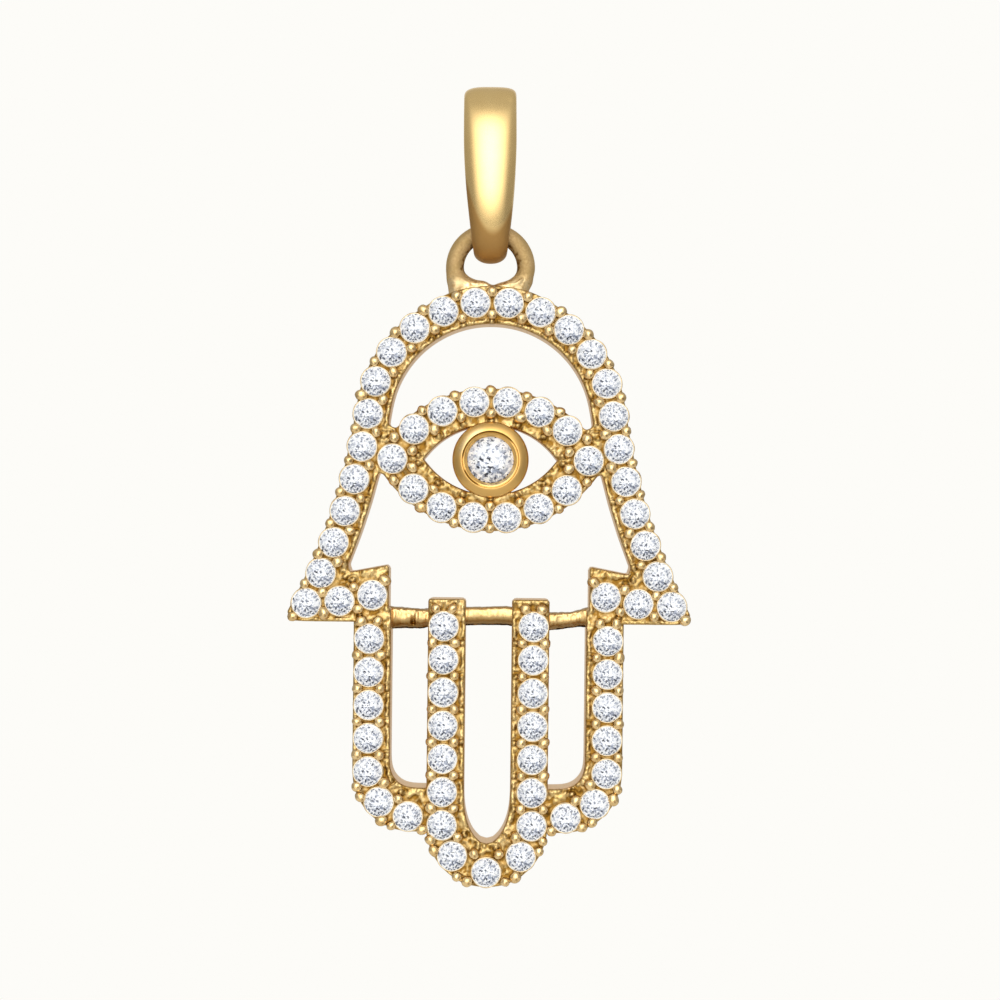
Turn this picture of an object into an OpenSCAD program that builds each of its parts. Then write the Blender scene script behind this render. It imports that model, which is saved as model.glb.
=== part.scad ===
// Hamsa pendant on an oval bail, set with round brilliant stones.
// Millimetres. +Z up, the front faces -Y, +X is the viewer's right.
// The origin is the top of the bail's inside, where the chain lies.

/* [Bail] */
// Height of the bail
bail_h = 6.06; // [5.4:0.01:7]
// Depth of the bail from front to back
bail_depth = 3.2; // [3:0.05:3.8]
// Width of the bail over its upper half
bail_w = 1.82; // [1.5:0.01:2.1]
// Width of the bail where it passes through the loop
bail_foot_w = 1.1; // [0.8:0.01:1.14]
// Thickness of the bail's band at the top
bail_t = 0.45; // [0.36:0.01:0.5]
// Thickness of the bail's band in the loop
bail_foot_t = 0.5; // [0.4:0.01:0.54]
// Height over which the band widens from the foot to full width
bail_taper_h = 4; // [3:0.1:4.6]

/* [Loop] */
// Diameter of the loop's wire
loop_wire = 0.58; // [0.46:0.01:0.62]
// Inside diameter of the loop
loop_bore = 1.86; // [1.82:0.01:2.1]
// Running gap between the loop's wire and the band under it
loop_gap = 0.28; // [0.25:0.01:0.34]
// Height of the loop's centre above the topmost line of stones
loop_rise = 1.17; // [1.05:0.01:1.3]

/* [Stones] */
// Diameter of the small stones
stone_d = 1; // [0.9:0.01:1.06]
// Diameter of the stone in the eye
centre_d = 1.7; // [1.4:0.01:1.8]
// Share of a stone's diameter that its table takes
table_share = 0.55; // [0.5:0.01:0.62]
// Share of a stone's diameter that its crown rises
crown_share = 0.16; // [0.12:0.01:0.18]
// Share of a stone's diameter that its pavilion reaches down
pavilion_share = 0.43; // [0.38:0.01:0.46]

/* [Setting] */
// Thickness of the cast frame from front to back
frame_t = 1.5; // [1.2:0.02:2]
// Height of the stones' widest line above the frame's front face
stone_lift = 0.12; // [0.1:0.01:0.18]
// Clearance between a stone and its seat
seat_gap = 0.02; // [0.01:0.005:0.04]
// Radius of the open hole behind each small stone
light_r = 0.2; // [0.12:0.01:0.26]
// Radius of the beads that hold the stones
bead_r = 0.15; // [0.12:0.005:0.155]
// Distance of the beads from the line of stones
bead_off = 0.39; // [0.38:0.01:0.44]
// How far the stones reach past the metal on the outer side
edge_lap = 0.05; // [0.03:0.01:0.08]
// Width of the plain rail beside the stones on the inner side
rail_w = 0.25; // [0.18:0.01:0.34]

/* [Hand outline] */
// Radius of the line of stones round the top
arch_r = 4.25; // [4.1:0.01:4.6]
// Angle from the top at which the arch turns into the flare
arch_turn = 82.5; // [80:0.5:86]
// Radius of the outward curve of the flare
flare_r = 21; // [17:0.5:30]
// Number of stones from the top to the tip of the flare
outline_n = 12; // [11:1:13]
// Space between two stones of the outline
outline_gap = 0.151; // [0.13:0.001:0.18]
// Metal under the stones at the foot of the flare
foot_rim = 0.14; // [0.1:0.01:0.2]
// Radius of the flare's lower corner
foot_corner = 0.35; // [0.2:0.01:0.4]
// Rise of the shoulder from its first stone to its second, in degrees
shoulder_rise = 4; // [0:1:8]
// Further rise from the second shoulder stone to the third, in degrees
shoulder_bend = 7; // [2:1:10]
// Plain metal above the last stone of the shoulder
shoulder_cap = 0.55; // [0.4:0.01:0.7]

/* [Fingers] */
// Distance of the middle finger's stones from the middle line
middle_x = 1.55; // [1.48:0.01:1.66]
// Radius of the curve of stones at the tip of an outer finger
outer_tip_r = 1.5; // [1.4:0.01:1.6]
// Number of stones down each side of the middle finger
middle_n = 8; // [7:1:9]
// Number of stones down each outer finger
outer_n = 7; // [6:1:8]
// Space between two stones of the fingers
finger_gap = 0.145; // [0.13:0.01:0.18]
// Drop from the stone of the flare's tip to the crossbar
crossbar_drop = 0.46; // [0.4:0.01:0.55]
// Diameter of the crossbar
crossbar_d = 0.62; // [0.5:0.01:0.7]
// Drop from the crossbar to the first stone of the middle finger
middle_drop = 0.29; // [0.25:0.01:0.4]
// Drop from the crossbar to the first stone of an outer finger
outer_drop = 0.75; // [0.7:0.01:0.85]
// Metal above the first stone of the middle finger
finger_head = 0.44; // [0.3:0.01:0.5]
// Metal beyond the stones on the outer side of a finger
finger_rim = 0.05; // [0.03:0.01:0.08]
// Height of the metal above the line of stones at a fingertip
tip_web = 0.98; // [0.9:0.01:1.1]
// Radius of the outer slot's round corner
slot_corner = 0.8; // [0.5:0.05:0.95]
// Length of the pointed end of the middle slot
slot_point = 1.6; // [1.2:0.1:2]

/* [Eye] */
// Drop from the arch's centre to the eye's centre
eye_drop = 1.2; // [1:0.01:1.4]
// Height of the eye from its middle line to the line of stones
eye_rise = 2.03; // [2:0.01:2.2]
// Distance from the corner stone to the line of stones beside it
eye_corner = 1.13; // [1.11:0.01:1.25]
// Number of stones from the middle of a lid to the corner stone
eye_n = 3; // [3:1:3]
// Height of the eye's opening from its middle line
eye_open = 1.21; // [1.1:0.01:1.25]
// Distance from the opening's corner to the corner stone
eye_inset = 1.08; // [1:0.01:1.2]
// Outside radius of the bezel
bezel_r = 1.31; // [1.26:0.01:1.4]
// Width of the bezel's sloping inner face
bezel_slope = 0.15; // [0.1:0.01:0.2]
// Height of the bezel above the frame's front face
bezel_h = 0.38; // [0.3:0.01:0.5]

/* [Hidden] */

GOLD = [0.86, 0.66, 0.30];
BRIGHT_GOLD = [0.93, 0.79, 0.46];
CLEAR = [0.93, 0.95, 0.98];

// Tolerances and steps of the outlines
cut_over = 0.02;
arc_step = 6;
flare_steps = 7;
corner_steps = 4;
slot_steps = 8;
tip_steps = 12;
lens_steps = 18;
bail_rings = 44;
dome_steps = 11;
wire_sides = 32;
seat_sides = 48;
ring_sides = 96;

// Stones and their seats
stone_r = stone_d / 2;
centre_r = centre_d / 2;
girdle_share = 0.02;
stone_twist = 17;
star_share = 0.78;
lower_share = 0.42;
frame_front = frame_t / 2;
girdle_y = frame_front + stone_lift;
bead_y = frame_front + bead_r / 2;
bead_reach = stone_r + bead_r + seat_gap;

// Bail: the inner and outer curves are ellipses round these heights
bail_in_h = bail_h - bail_t - bail_foot_t;
bail_in_z = -bail_in_h / 2;
bail_out_z = bail_t - bail_h / 2;
bail_in_depth = bail_depth - 2 * bail_t;
bail_foot_z = bail_t - bail_h;
bail_side = 0.16;
bail_corner = 0.1;
bail_dome_top = 3.4;
bail_dome_foot = 2.2;

// Loop and arch, hung from the band at the foot of the bail
loop_r = (loop_bore + loop_wire) / 2;
hinge_z = -bail_in_h + loop_gap + loop_wire / 2;
loop_z = hinge_z - loop_r;
arch_z = loop_z - loop_rise - arch_r;
pad_h = 0.13;
pad_half = 2;
pad_fade = 4;

// Hand outline: an arch, then a flare that curves the other way
outline_pitch = stone_d + outline_gap;
flare_start = 90 - arch_turn;
arch_len = arch_r * arch_turn * PI / 180;
flare_c = [0, arch_z] + (arch_r + flare_r) * [cos(flare_start), sin(flare_start)];
band_out = stone_r - edge_lap;
band_in = stone_r + rail_w;

function turn(v, a) = [v.x * cos(a) - v.y * sin(a), v.x * sin(a) + v.y * cos(a)];
function flip(p) = [-p.x, p.y];
function arc(c, r, a0, a1, n) =
    [for (i = [0:n]) c + r * [cos(a0 + (a1 - a0) * i / n), sin(a0 + (a1 - a0) * i / n)]];

// Point of the right half of the outline, s from the top and off outwards
function right_pt(s, off) =
    s < arch_len
    ? [0, arch_z] + (arch_r + off) * [sin(s / arch_r * 180 / PI), cos(s / arch_r * 180 / PI)]
    : flare_pt(flare_start + (s - arch_len) / flare_r * 180 / PI, off);
function flare_pt(a, off) = flare_c - (flare_r - off) * [cos(a), sin(a)];
function outline_pt(s, off) = s < 0 ? flip(right_pt(-s, off)) : right_pt(s, off);
function flare_angle(z, off) = asin((flare_c.y - z) / (flare_r - off));

hand_row = [for (i = [-outline_n:outline_n - 1]) outline_pt((i + 0.5) * outline_pitch, 0)];
tip_pt = hand_row[2 * outline_n - 1];
foot_z = tip_pt.y - stone_r - foot_rim;

// Shoulders, from the stone at the tip of the flare inwards
shoulder_1 = tip_pt + turn([-outline_pitch, 0], -shoulder_rise);
shoulder_2 = shoulder_1 + turn([-outline_pitch, 0], -shoulder_rise - shoulder_bend);
shoulder_end_x = shoulder_2.x - stone_r - foot_rim / 2;
shoulder_top_z = shoulder_2.y + stone_r + shoulder_cap;
shoulder_slope = shoulder_rise + shoulder_bend;

// Fingers
finger_pitch = stone_d + finger_gap;
finger_shift = 0.09;
outer_x = shoulder_2.x + finger_shift;
crossbar_z = tip_pt.y - crossbar_drop;
middle_top_z = crossbar_z - middle_drop;
outer_top_z = crossbar_z - outer_drop;
middle_last = 40;
outer_last = 86;
middle_straight = (middle_n - 1) * finger_pitch - middle_x * middle_last * PI / 180;
outer_straight = (outer_n - 1) * finger_pitch - outer_tip_r * outer_last * PI / 180;
middle_c = [0, middle_top_z - middle_straight];
outer_c = [outer_x - outer_tip_r, outer_top_z - outer_straight];

// Point of a finger that runs straight down and then round a tip
function finger_pt(s, top, straight, c, r) =
    s < straight ? [c.x + r, top - s]
    : c + r * [cos((s - straight) / r * 180 / PI), -sin((s - straight) / r * 180 / PI)];
outer_side = [for (i = [0:outer_n - 1])
    finger_pt(i * finger_pitch, outer_top_z, outer_straight, outer_c, outer_tip_r)];
middle_side = [for (i = [0:middle_n - 1])
    finger_pt(i * finger_pitch, middle_top_z, middle_straight, middle_c, middle_x)];
middle_tip = middle_c - [0, middle_x];

slot_in_x = middle_x + stone_r + finger_rim;
slot_out_x = outer_x - stone_r - rail_w;
slot_foot_z = outer_c.y - outer_tip_r + tip_web;
middle_slot_x = middle_x - stone_r - rail_w;
middle_slot_foot_z = middle_tip.y + tip_web;
finger_top_z = middle_top_z + stone_r + finger_head;

// Eye: two arcs through the corner stones, one arc for each lid
eye_z = arch_z - eye_drop;
flank_x = flare_pt(flare_angle(eye_z, 0), 0).x;
eye_tip_x = flank_x - eye_corner;
eye_tip_over = 0.09;
eye_half = eye_tip_x + eye_tip_over;
eye_r = lens_r(eye_half, eye_rise);
eye_turn = asin(eye_tip_x / eye_r) / (eye_n + 0.5);
eye_open_half = eye_tip_x - eye_inset;
eye_rim_over = 0.55;
eye_rim_half = eye_half + eye_rim_over;
eye_rim_rise = eye_rise + band_out;

function lens_r(half, rise) = (half * half + rise * rise) / (2 * rise);
function lens(half, rise, n) =
    let (r = lens_r(half, rise), a = asin(half / r), d = r - rise)
    concat([for (i = [0:n - 1]) [r * sin(-a + 2 * a * i / n), r * cos(-a + 2 * a * i / n) - d]],
           [for (i = [0:n - 1]) [r * sin(a - 2 * a * i / n), d - r * cos(a - 2 * a * i / n)]]);
eye_angles = [for (i = [-eye_n:eye_n - 1]) (i + 0.5) * eye_turn];
eye_row = concat(
    [[-eye_tip_x, eye_z]],
    [for (a = eye_angles) [eye_r * sin(a), eye_z + eye_r * cos(a) - eye_r + eye_rise]],
    [[eye_tip_x, eye_z]],
    [for (a = eye_angles) [-eye_r * sin(a), eye_z - eye_r * cos(a) + eye_r - eye_rise]]);

// Centre stone and bezel, radii and heights before the frame's middle
bezel_lap = 0.05;
bezel_lip_r = centre_r - bezel_lap;
bezel_lip_h = 0.09;
bezel_inset = 0.05;
bezel_back = bezel_inset - frame_front;
centre_girdle_y = frame_front + bezel_lap;
bezel_round = 6;

// Beads between two stones: shares along and across the gap
straight_beads = [[0, 1], [0, -1]];
bend_along = 0.5;
bend_out = 1.46;
bend_beads = [[0, 1], [bend_along, -bend_out], [-bend_along, -bend_out]];
corner_beads = [[0, 0.87], [0, -1]];
head_turn = 25;
shoulder_turn = 40;
corner_turn = 45;

function unit(v) = v / norm(v);
function gap_beads(a, b, places) =
    let (m = (a + b) / 2, t = unit(b - a), n = [t.y, -t.x])
    [for (p = places) m + bead_off * (p[0] * t + p[1] * n)];
function row_beads(row, places) =
    [for (i = [0:len(row) - 2]) for (p = gap_beads(row[i], row[i + 1], places)) p];
function both(pts) = concat(pts, [for (p = pts) flip(p)]);

// Beads of a finger's side: single ones down the straight, pairs outside the bends
function side_beads(row, bends) = concat(
    row_beads([for (i = [0:len(row) - 1 - bends]) row[i]], straight_beads),
    row_beads([for (i = [len(row) - 1 - bends:len(row) - 1]) row[i]], bend_beads));
function bead_by(p, a) = p + bead_reach * [sin(a), cos(a)];
function head_beads(p) = [bead_by(p, -head_turn), bead_by(p, head_turn)];

outline_places = concat(hand_row, both([shoulder_1, shoulder_2]));
finger_places = concat(both(outer_side), both(middle_side), [middle_tip]);
finger_bends = 2;
hand_beads = concat(
    row_beads([for (i = [1:2 * outline_n - 2]) hand_row[i]], straight_beads),
    both(gap_beads(hand_row[2 * outline_n - 2], tip_pt, [straight_beads[1]])),
    both([bead_by(tip_pt, 90 + corner_turn), bead_by(shoulder_2, -shoulder_turn)]),
    both(gap_beads(tip_pt, shoulder_1, corner_beads)),
    both(gap_beads(shoulder_1, shoulder_2, straight_beads)));
finger_beads = concat(
    both(side_beads(outer_side, finger_bends)),
    both(side_beads(concat(middle_side, [middle_tip]), finger_bends)),
    both(gap_beads(outer_side[outer_n - 1], middle_side[middle_n - 2], [straight_beads[1]])),
    both(head_beads(outer_side[0])),
    both(head_beads(middle_side[0])));
eye_beads = row_beads(concat(eye_row, [eye_row[0]]), straight_beads);

// Places a flat drawing or a solid of revolution so that its height points to the front
module to_front() {
    rotate([90, 0, 0]) children();
}

// Round brilliant with its widest line at height 0 and its table up
module brilliant(d) {
    step = 45;
    half = step / 2;
    r = d / 2;
    rt = r * table_share;
    rs = r * star_share;
    rl = r * lower_share;
    hc = d * crown_share;
    hp = d * pavilion_share;
    hg = d * girdle_share;
    hs = hc * (r - rs * cos(half)) / (r - rt);
    hl = hp * (r - rl * cos(half)) / r;
    pts = concat(
        [for (i = [0:7]) [rt * cos(step * i), rt * sin(step * i), hc]],
        [for (i = [0:7]) [rs * cos(step * i + half), rs * sin(step * i + half), hs]],
        [for (i = [0:15]) [r * cos(half * i), r * sin(half * i), 0]],
        [for (i = [0:15]) [r * cos(half * i), r * sin(half * i), -hg]],
        [for (i = [0:7]) [rl * cos(step * i + half), rl * sin(step * i + half), -hg - hl]],
        [[0, 0, -hg - hp]]);
    table = [for (i = [7:-1:0]) i];
    upper = [for (i = [0:7]) let (j = (i + 1) % 8, g = 16 + 2 * i, n = 16 + 2 * j) each [
        [i, j, 8 + i],
        [j, n, 8 + i],
        [j, 8 + j, n],
        [8 + i, g + 1, g],
        [8 + i, n, g + 1]]];
    girdle = [for (i = [0:15]) let (j = (i + 1) % 16) [16 + i, 16 + j, 32 + j, 32 + i]];
    lower = [for (i = [0:7]) let (j = (i + 1) % 8, g = 32 + 2 * i, n = 32 + 2 * j) each [
        [g, g + 1, 48 + i],
        [g + 1, n, 48 + i],
        [n, 48 + j, 56, 48 + i]]];
    polyhedron(pts, concat([table], upper, girdle, lower));
}

// Stones set face front at the points of a row, each turned a little further
module set_stones(row) {
    for (i = [0:len(row) - 1])
        translate([row[i].x, -girdle_y, row[i].y])
            to_front() rotate(stone_twist * i) brilliant(stone_d);
}

// Seat of a small stone with the open hole behind it
module seat(p) {
    depth = stone_d * pavilion_share;
    slope = stone_r / depth;
    front_r = stone_r + seat_gap - (stone_lift - cut_over) * slope;
    throat_y = frame_front + cut_over - (front_r - light_r) / slope;
    translate([p.x, 0, p.y]) to_front() rotate_extrude($fn = seat_sides) polygon([
        [0, -frame_front - cut_over],
        [light_r, -frame_front - cut_over],
        [light_r, throat_y],
        [front_r, frame_front + cut_over],
        [0, frame_front + cut_over]]);
}

module beads(pts) {
    for (p = pts)
        translate([p.x, -bead_y, p.y]) sphere(r = bead_r, $fn = wire_sides);
}

// Flat outline of the arch and the two flares
module band_outline() {
    arch_steps = ceil(arch_turn / arc_step);
    outer_end = flare_angle(foot_z + foot_corner, band_out);
    foot = flare_pt(outer_end, band_out) - [foot_corner, 0];
    inner_end = flare_angle(foot_z, -band_in);
    outer = concat(
        [for (i = [0:arch_steps - 1]) let (s = arch_len * i / arch_steps) right_pt(s, band_out + pad(s))],
        [for (i = [0:flare_steps - 1])
            flare_pt(flare_start + (outer_end - flare_start) * i / flare_steps, band_out)],
        arc(foot, foot_corner, 0, -90, corner_steps));
    inner = concat(
        [for (i = [0:arch_steps - 1]) right_pt(arch_len * i / arch_steps, -band_in)],
        [for (i = [0:flare_steps])
            flare_pt(flare_start + (inner_end - flare_start) * i / flare_steps, -band_in)]);
    outer_last_i = len(outer) - 1;
    inner_last_i = len(inner) - 1;
    polygon(concat(
        [for (i = [outer_last_i:-1:1]) flip(outer[i])], outer,
        [for (i = [inner_last_i:-1:0]) inner[i]], [for (i = [1:inner_last_i]) flip(inner[i])]));
}

// The outline is a little wider under the loop
function pad(s) = pad_h * max(0, 1 - pow(s / pad_half, pad_fade));

module shoulder_outline() {
    far_x = tip_pt.x - stone_r;
    polygon([
        [shoulder_end_x, shoulder_top_z],
        [far_x, shoulder_top_z - (far_x - shoulder_end_x) * tan(shoulder_slope)],
        [tip_pt.x, foot_z],
        [shoulder_end_x, foot_z]]);
}

module outer_finger_outline() {
    r = outer_tip_r + stone_r + finger_rim;
    polygon(concat(
        [[middle_x, foot_z + stone_r], [outer_c.x + r, foot_z + stone_r]],
        arc(outer_c, r, 0, -90, tip_steps),
        [[middle_x, outer_c.y - r]]));
}

module middle_finger_outline() {
    r = middle_x + stone_r + finger_rim;
    polygon(concat(
        [[-r, finger_top_z], [r, finger_top_z]],
        arc(middle_c, r, 0, -180, 2 * tip_steps)));
}

module outer_slot() {
    top = finger_top_z + stone_r;
    polygon(concat(
        [[slot_in_x, slot_foot_z], [slot_in_x, top], [slot_out_x, top]],
        arc([slot_out_x - slot_corner, slot_foot_z + slot_corner], slot_corner, 0, -90, slot_steps)));
}

module middle_slot() {
    polygon(concat(
        [[-middle_slot_x, finger_top_z + stone_r]],
        [for (i = [0:tip_steps]) let (a = 180 + 180 * i / tip_steps)
            [middle_slot_x * cos(a), middle_slot_foot_z + slot_point * (1 + sin(a))]],
        [[middle_slot_x, finger_top_z + stone_r]]));
}

module fingers_outline() {
    difference() {
        union() {
            outer_finger_outline();
            mirror([1, 0]) outer_finger_outline();
            middle_finger_outline();
        }
        outer_slot();
        mirror([1, 0]) outer_slot();
        middle_slot();
    }
}

module eye_outline() {
    translate([0, eye_z]) difference() {
        polygon(lens(eye_rim_half, eye_rim_rise, lens_steps));
        polygon(lens(eye_open_half, eye_open, tip_steps));
    }
}

// The pierced plate of the hand, before its seats are cut
module plate() {
    to_front() linear_extrude(frame_t, center = true) {
        band_outline();
        shoulder_outline();
        mirror([1, 0]) shoulder_outline();
        fingers_outline();
        eye_outline();
    }
}

module loop() {
    translate([0, 0, loop_z]) to_front()
        rotate_extrude($fn = ring_sides) translate([loop_r, 0]) circle(d = loop_wire, $fn = wire_sides);
}

module crossbar() {
    reach = slot_out_x + stone_r;
    translate([-reach, 0, crossbar_z]) rotate([0, 90, 0])
        cylinder(h = 2 * reach, d = crossbar_d, $fn = wire_sides);
}

// Bezel: a rounded rim, a sloping inner face and the seat under the lip
module bezel() {
    rim_in = bezel_lip_r + bezel_slope;
    crest_r = (bezel_r + rim_in) / 2;
    crest_w = (bezel_r - rim_in) / 2;
    crest_h = bezel_h / 2;
    lip_y = centre_girdle_y + bezel_lip_h;
    bore_r = centre_r + seat_gap;
    seat_y = centre_girdle_y - centre_d * girdle_share - seat_gap;
    hole_r = centre_r / 2;
    slope = pavilion_share * 2;
    translate([0, 0, eye_z]) to_front() rotate_extrude($fn = ring_sides) polygon(concat(
        [[bezel_r, bezel_back]],
        [for (i = [0:bezel_round]) let (a = 180 * i / bezel_round)
            [crest_r + crest_w * cos(a), frame_front + crest_h * (1 + sin(a))]],
        [[bezel_lip_r, lip_y],
         [bezel_lip_r, lip_y - seat_gap],
         [bore_r, centre_girdle_y + seat_gap],
         [bore_r, seat_y],
         [hole_r, seat_y - (bore_r - hole_r) * slope],
         [hole_r, bezel_back]]));
}

// Cast gold frame: the hand, its eye, bezel, loop, crossbar and beads in one piece
module hand_frame() {
    color(GOLD) {
        difference() {
            union() {
                plate();
                loop();
                crossbar();
                bezel();
            }
            for (p = concat(outline_places, finger_places, eye_row)) seat(p);
        }
        beads(hand_beads);
        beads(finger_beads);
        beads(eye_beads);
    }
}

// Section of the bail's band: u across the width, v from the inside out
function band_section(n) = concat(
    [for (i = [0:dome_steps]) let (a = 180 * i / dome_steps)
        [sign(cos(a)) * pow(abs(cos(a)), 2 / n), bail_side + (1 - bail_side) * pow(sin(a), 2 / n)]],
    [[bail_corner - 1, 0], [1 - bail_corner, 0]]);

// Oval bail with a domed band that narrows where it passes through the loop
module bail() {
    sides = dome_steps + 3;
    rings = [for (k = [0:bail_rings - 1])
        let (t = 360 * k / bail_rings,
             inner = [bail_in_depth / 2 * sin(t), bail_in_z - bail_in_h / 2 * cos(t)],
             outer = [bail_depth / 2 * sin(t), bail_out_z - bail_h / 2 * cos(t)],
             up = min(1, max(0, (inner.y - bail_foot_z - bail_foot_t / 2) / bail_taper_h)),
             grow = sin(90 * up),
             half_w = (bail_foot_w + (bail_w - bail_foot_w) * grow) / 2,
             n = bail_dome_foot + (bail_dome_top - bail_dome_foot) * grow)
        [for (q = band_section(n)) [q[0] * half_w, each (inner + q[1] * (outer - inner))]]];
    faces = [for (k = [0:bail_rings - 1]) for (j = [0:sides - 1])
        let (a = k * sides + j,
             b = k * sides + (j + 1) % sides,
             c = ((k + 1) % bail_rings) * sides + (j + 1) % sides,
             d = ((k + 1) % bail_rings) * sides + j)
        each [[a, b, c], [a, c, d]]];
    color(BRIGHT_GOLD) polyhedron([for (ring = rings) each ring], faces);
}

module outline_stones() {
    color(CLEAR) set_stones(outline_places);
}

module eye_stones() {
    color(CLEAR) set_stones(eye_row);
}

module finger_stones() {
    color(CLEAR) set_stones(finger_places);
}

module centre_stone() {
    color(CLEAR) translate([0, -centre_girdle_y, eye_z]) to_front() brilliant(centre_d);
}

bail();
hand_frame();
outline_stones();
eye_stones();
finger_stones();
centre_stone();
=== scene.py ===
"""Hamsa pendant: cast gold, beads and cut stones built round the fixed frame."""
import math
import random

import bpy
import numpy as np
from mathutils import Matrix, Vector, noise
from mathutils.bvhtree import BVHTree


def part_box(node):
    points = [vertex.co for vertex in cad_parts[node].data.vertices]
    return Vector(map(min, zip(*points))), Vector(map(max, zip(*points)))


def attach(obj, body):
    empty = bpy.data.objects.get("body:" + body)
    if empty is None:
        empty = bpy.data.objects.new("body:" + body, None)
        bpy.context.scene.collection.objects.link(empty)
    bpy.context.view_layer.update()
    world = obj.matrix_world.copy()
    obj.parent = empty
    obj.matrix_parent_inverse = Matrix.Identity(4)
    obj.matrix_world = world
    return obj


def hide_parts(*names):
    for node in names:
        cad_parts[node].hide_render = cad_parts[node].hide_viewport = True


bl_info = {
    "name": "Hamsa pendant",
    "version": (1, 0, 0),
    "blender": (4, 5, 0),
    "location": "View3D > Sidebar > Pendant",
    "description": "Builds the visible surfaces of a stone-set hamsa pendant round its fixed frame",
    "category": "Add Mesh",
}

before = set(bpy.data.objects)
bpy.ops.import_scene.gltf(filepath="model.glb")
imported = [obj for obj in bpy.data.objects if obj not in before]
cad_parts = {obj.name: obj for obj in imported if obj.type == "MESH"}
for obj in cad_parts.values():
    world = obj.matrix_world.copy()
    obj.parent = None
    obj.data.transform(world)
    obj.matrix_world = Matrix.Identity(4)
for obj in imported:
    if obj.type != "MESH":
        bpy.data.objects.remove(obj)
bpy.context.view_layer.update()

MM = 0.001
# Fields of small stones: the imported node, and the piece that stands for it
FIELDS = {"outline_stones": "outline_gems", "eye_stones": "eye_gems", "finger_stones": "finger_gems"}
# The photo: pixels across, pixels to a millimetre, lean, and the place that its middle shows
PHOTO_PIXELS, PIXELS_PER_MM = 1000, 29
PHOTO_LEAN = math.radians(0.6117)
VIEW_MIDDLE = (0.3424, -0.9, -13.765)
# Width of the camera's sensor
SENSOR = 36


# Small helpers, all in millimetres unless they make an object


def smooth(low, high, value):
    """0 at low, 1 at high, and an even curve between them."""
    share = np.clip((value - low) / (high - low), 0, 1)
    return share * share * (3 - 2 * share)


def hump(middle, width, value):
    """1 in the middle, falling off evenly to both sides."""
    return np.exp(-(((value - middle) / width) ** 2))


def grain(points, size, seed):
    """Even noise of about -0.5 to 0.5 at each point, with hills of the given size."""
    shift = Vector((seed * 7.3, seed * 3.1, seed * 5.7))
    return np.array([noise.noise(Vector(p) / size + shift) for p in points])


def distance(points, place):
    """Distance of points from one place, or of each point from its own."""
    return np.hypot(*(points - place).T)


def new_object(name, points, faces):
    """An object in the scene, its points taken as they are."""
    mesh = bpy.data.meshes.new(name)
    mesh.from_pydata(points, [], faces)
    made = bpy.data.objects.new(name, mesh)
    bpy.context.scene.collection.objects.link(made)
    return made


def make_piece(name, points, faces, finish, body="pendant"):
    """A smooth-shaded object from points in millimetres, with a named finish, riding on a body."""
    piece = new_object(name, (np.asarray(points) * MM).tolist(), faces)
    piece.data.validate()
    piece.data.shade_smooth()
    piece.data.materials.append(bpy.data.materials[finish])
    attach(piece, body)
    return piece


def set_tone(piece, name, values):
    """A value from 0 to 1 for each point, which the finish reads by its name."""
    layer = piece.data.attributes.new(name, "FLOAT", "POINT")
    layer.data.foreach_set("value", np.clip(values, 0, 1).astype(np.float32))


def set_colours(piece, name, colours):
    """A colour for each face, which the finish reads by its name."""
    layer = piece.data.attributes.new(name, "FLOAT_COLOR", "FACE")
    rgba = np.ones((len(colours), 4), np.float32)
    rgba[:, :3] = colours
    layer.data.foreach_set("color", rgba.ravel())


def circle(count, shift=0):
    """Cosines and sines of evenly spaced angles, turned on by a share of one step."""
    angles = [2 * math.pi * (i + shift) / count for i in range(count)]
    return [(math.cos(angle), math.sin(angle)) for angle in angles]


def ring_faces(rows, columns, closed_rows=False, start=0):
    """Quads between rows of points, each row closed on itself, counted from the first point."""
    faces = []
    for i in range(rows if closed_rows else rows - 1):
        a, b = start + i * columns, start + (i + 1) % rows * columns
        for j in range(columns):
            k = (j + 1) % columns
            faces.append((a + j, a + k, b + k, b + j))
    return faces


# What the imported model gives: solids' points, stone centres, bead centres, plate outline

# Where the plate is cut to read its outline, behind the seats
OUTLINE_Y = 0.6


def node_mesh(node):
    """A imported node's points, in millimetres, and its triangles."""
    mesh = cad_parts[node].data
    mesh.calc_loop_triangles()
    points = np.empty(3 * len(mesh.vertices), np.float32)
    mesh.vertices.foreach_get("co", points)
    corners = np.empty(3 * len(mesh.loop_triangles), np.int32)
    mesh.loop_triangles.foreach_get("vertices", corners)
    return points.reshape(-1, 3).astype(float) / MM, corners.reshape(-1, 3)


def stone_places(node):
    """Centres of a field's stones, as x and z, from the points at their backs."""
    points = node_mesh(node)[0]
    backs = points[points[:, 1] > points[:, 1].max() - 0.001]
    return np.unique(backs[:, [0, 2]].round(3), axis=0)


def all_stones():
    """Centres of all the small stones."""
    return np.vstack([stone_places(node) for node in FIELDS])


def eye_centre():
    """Centre of the stone in the eye."""
    return stone_places("centre_stone")[0]


def merged(points, corners):
    """Points that lie together made one, and the triangles numbered to suit."""
    keys, index = np.unique(points.round(4), axis=0, return_inverse=True)
    return keys, index.ravel()[corners]


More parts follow.
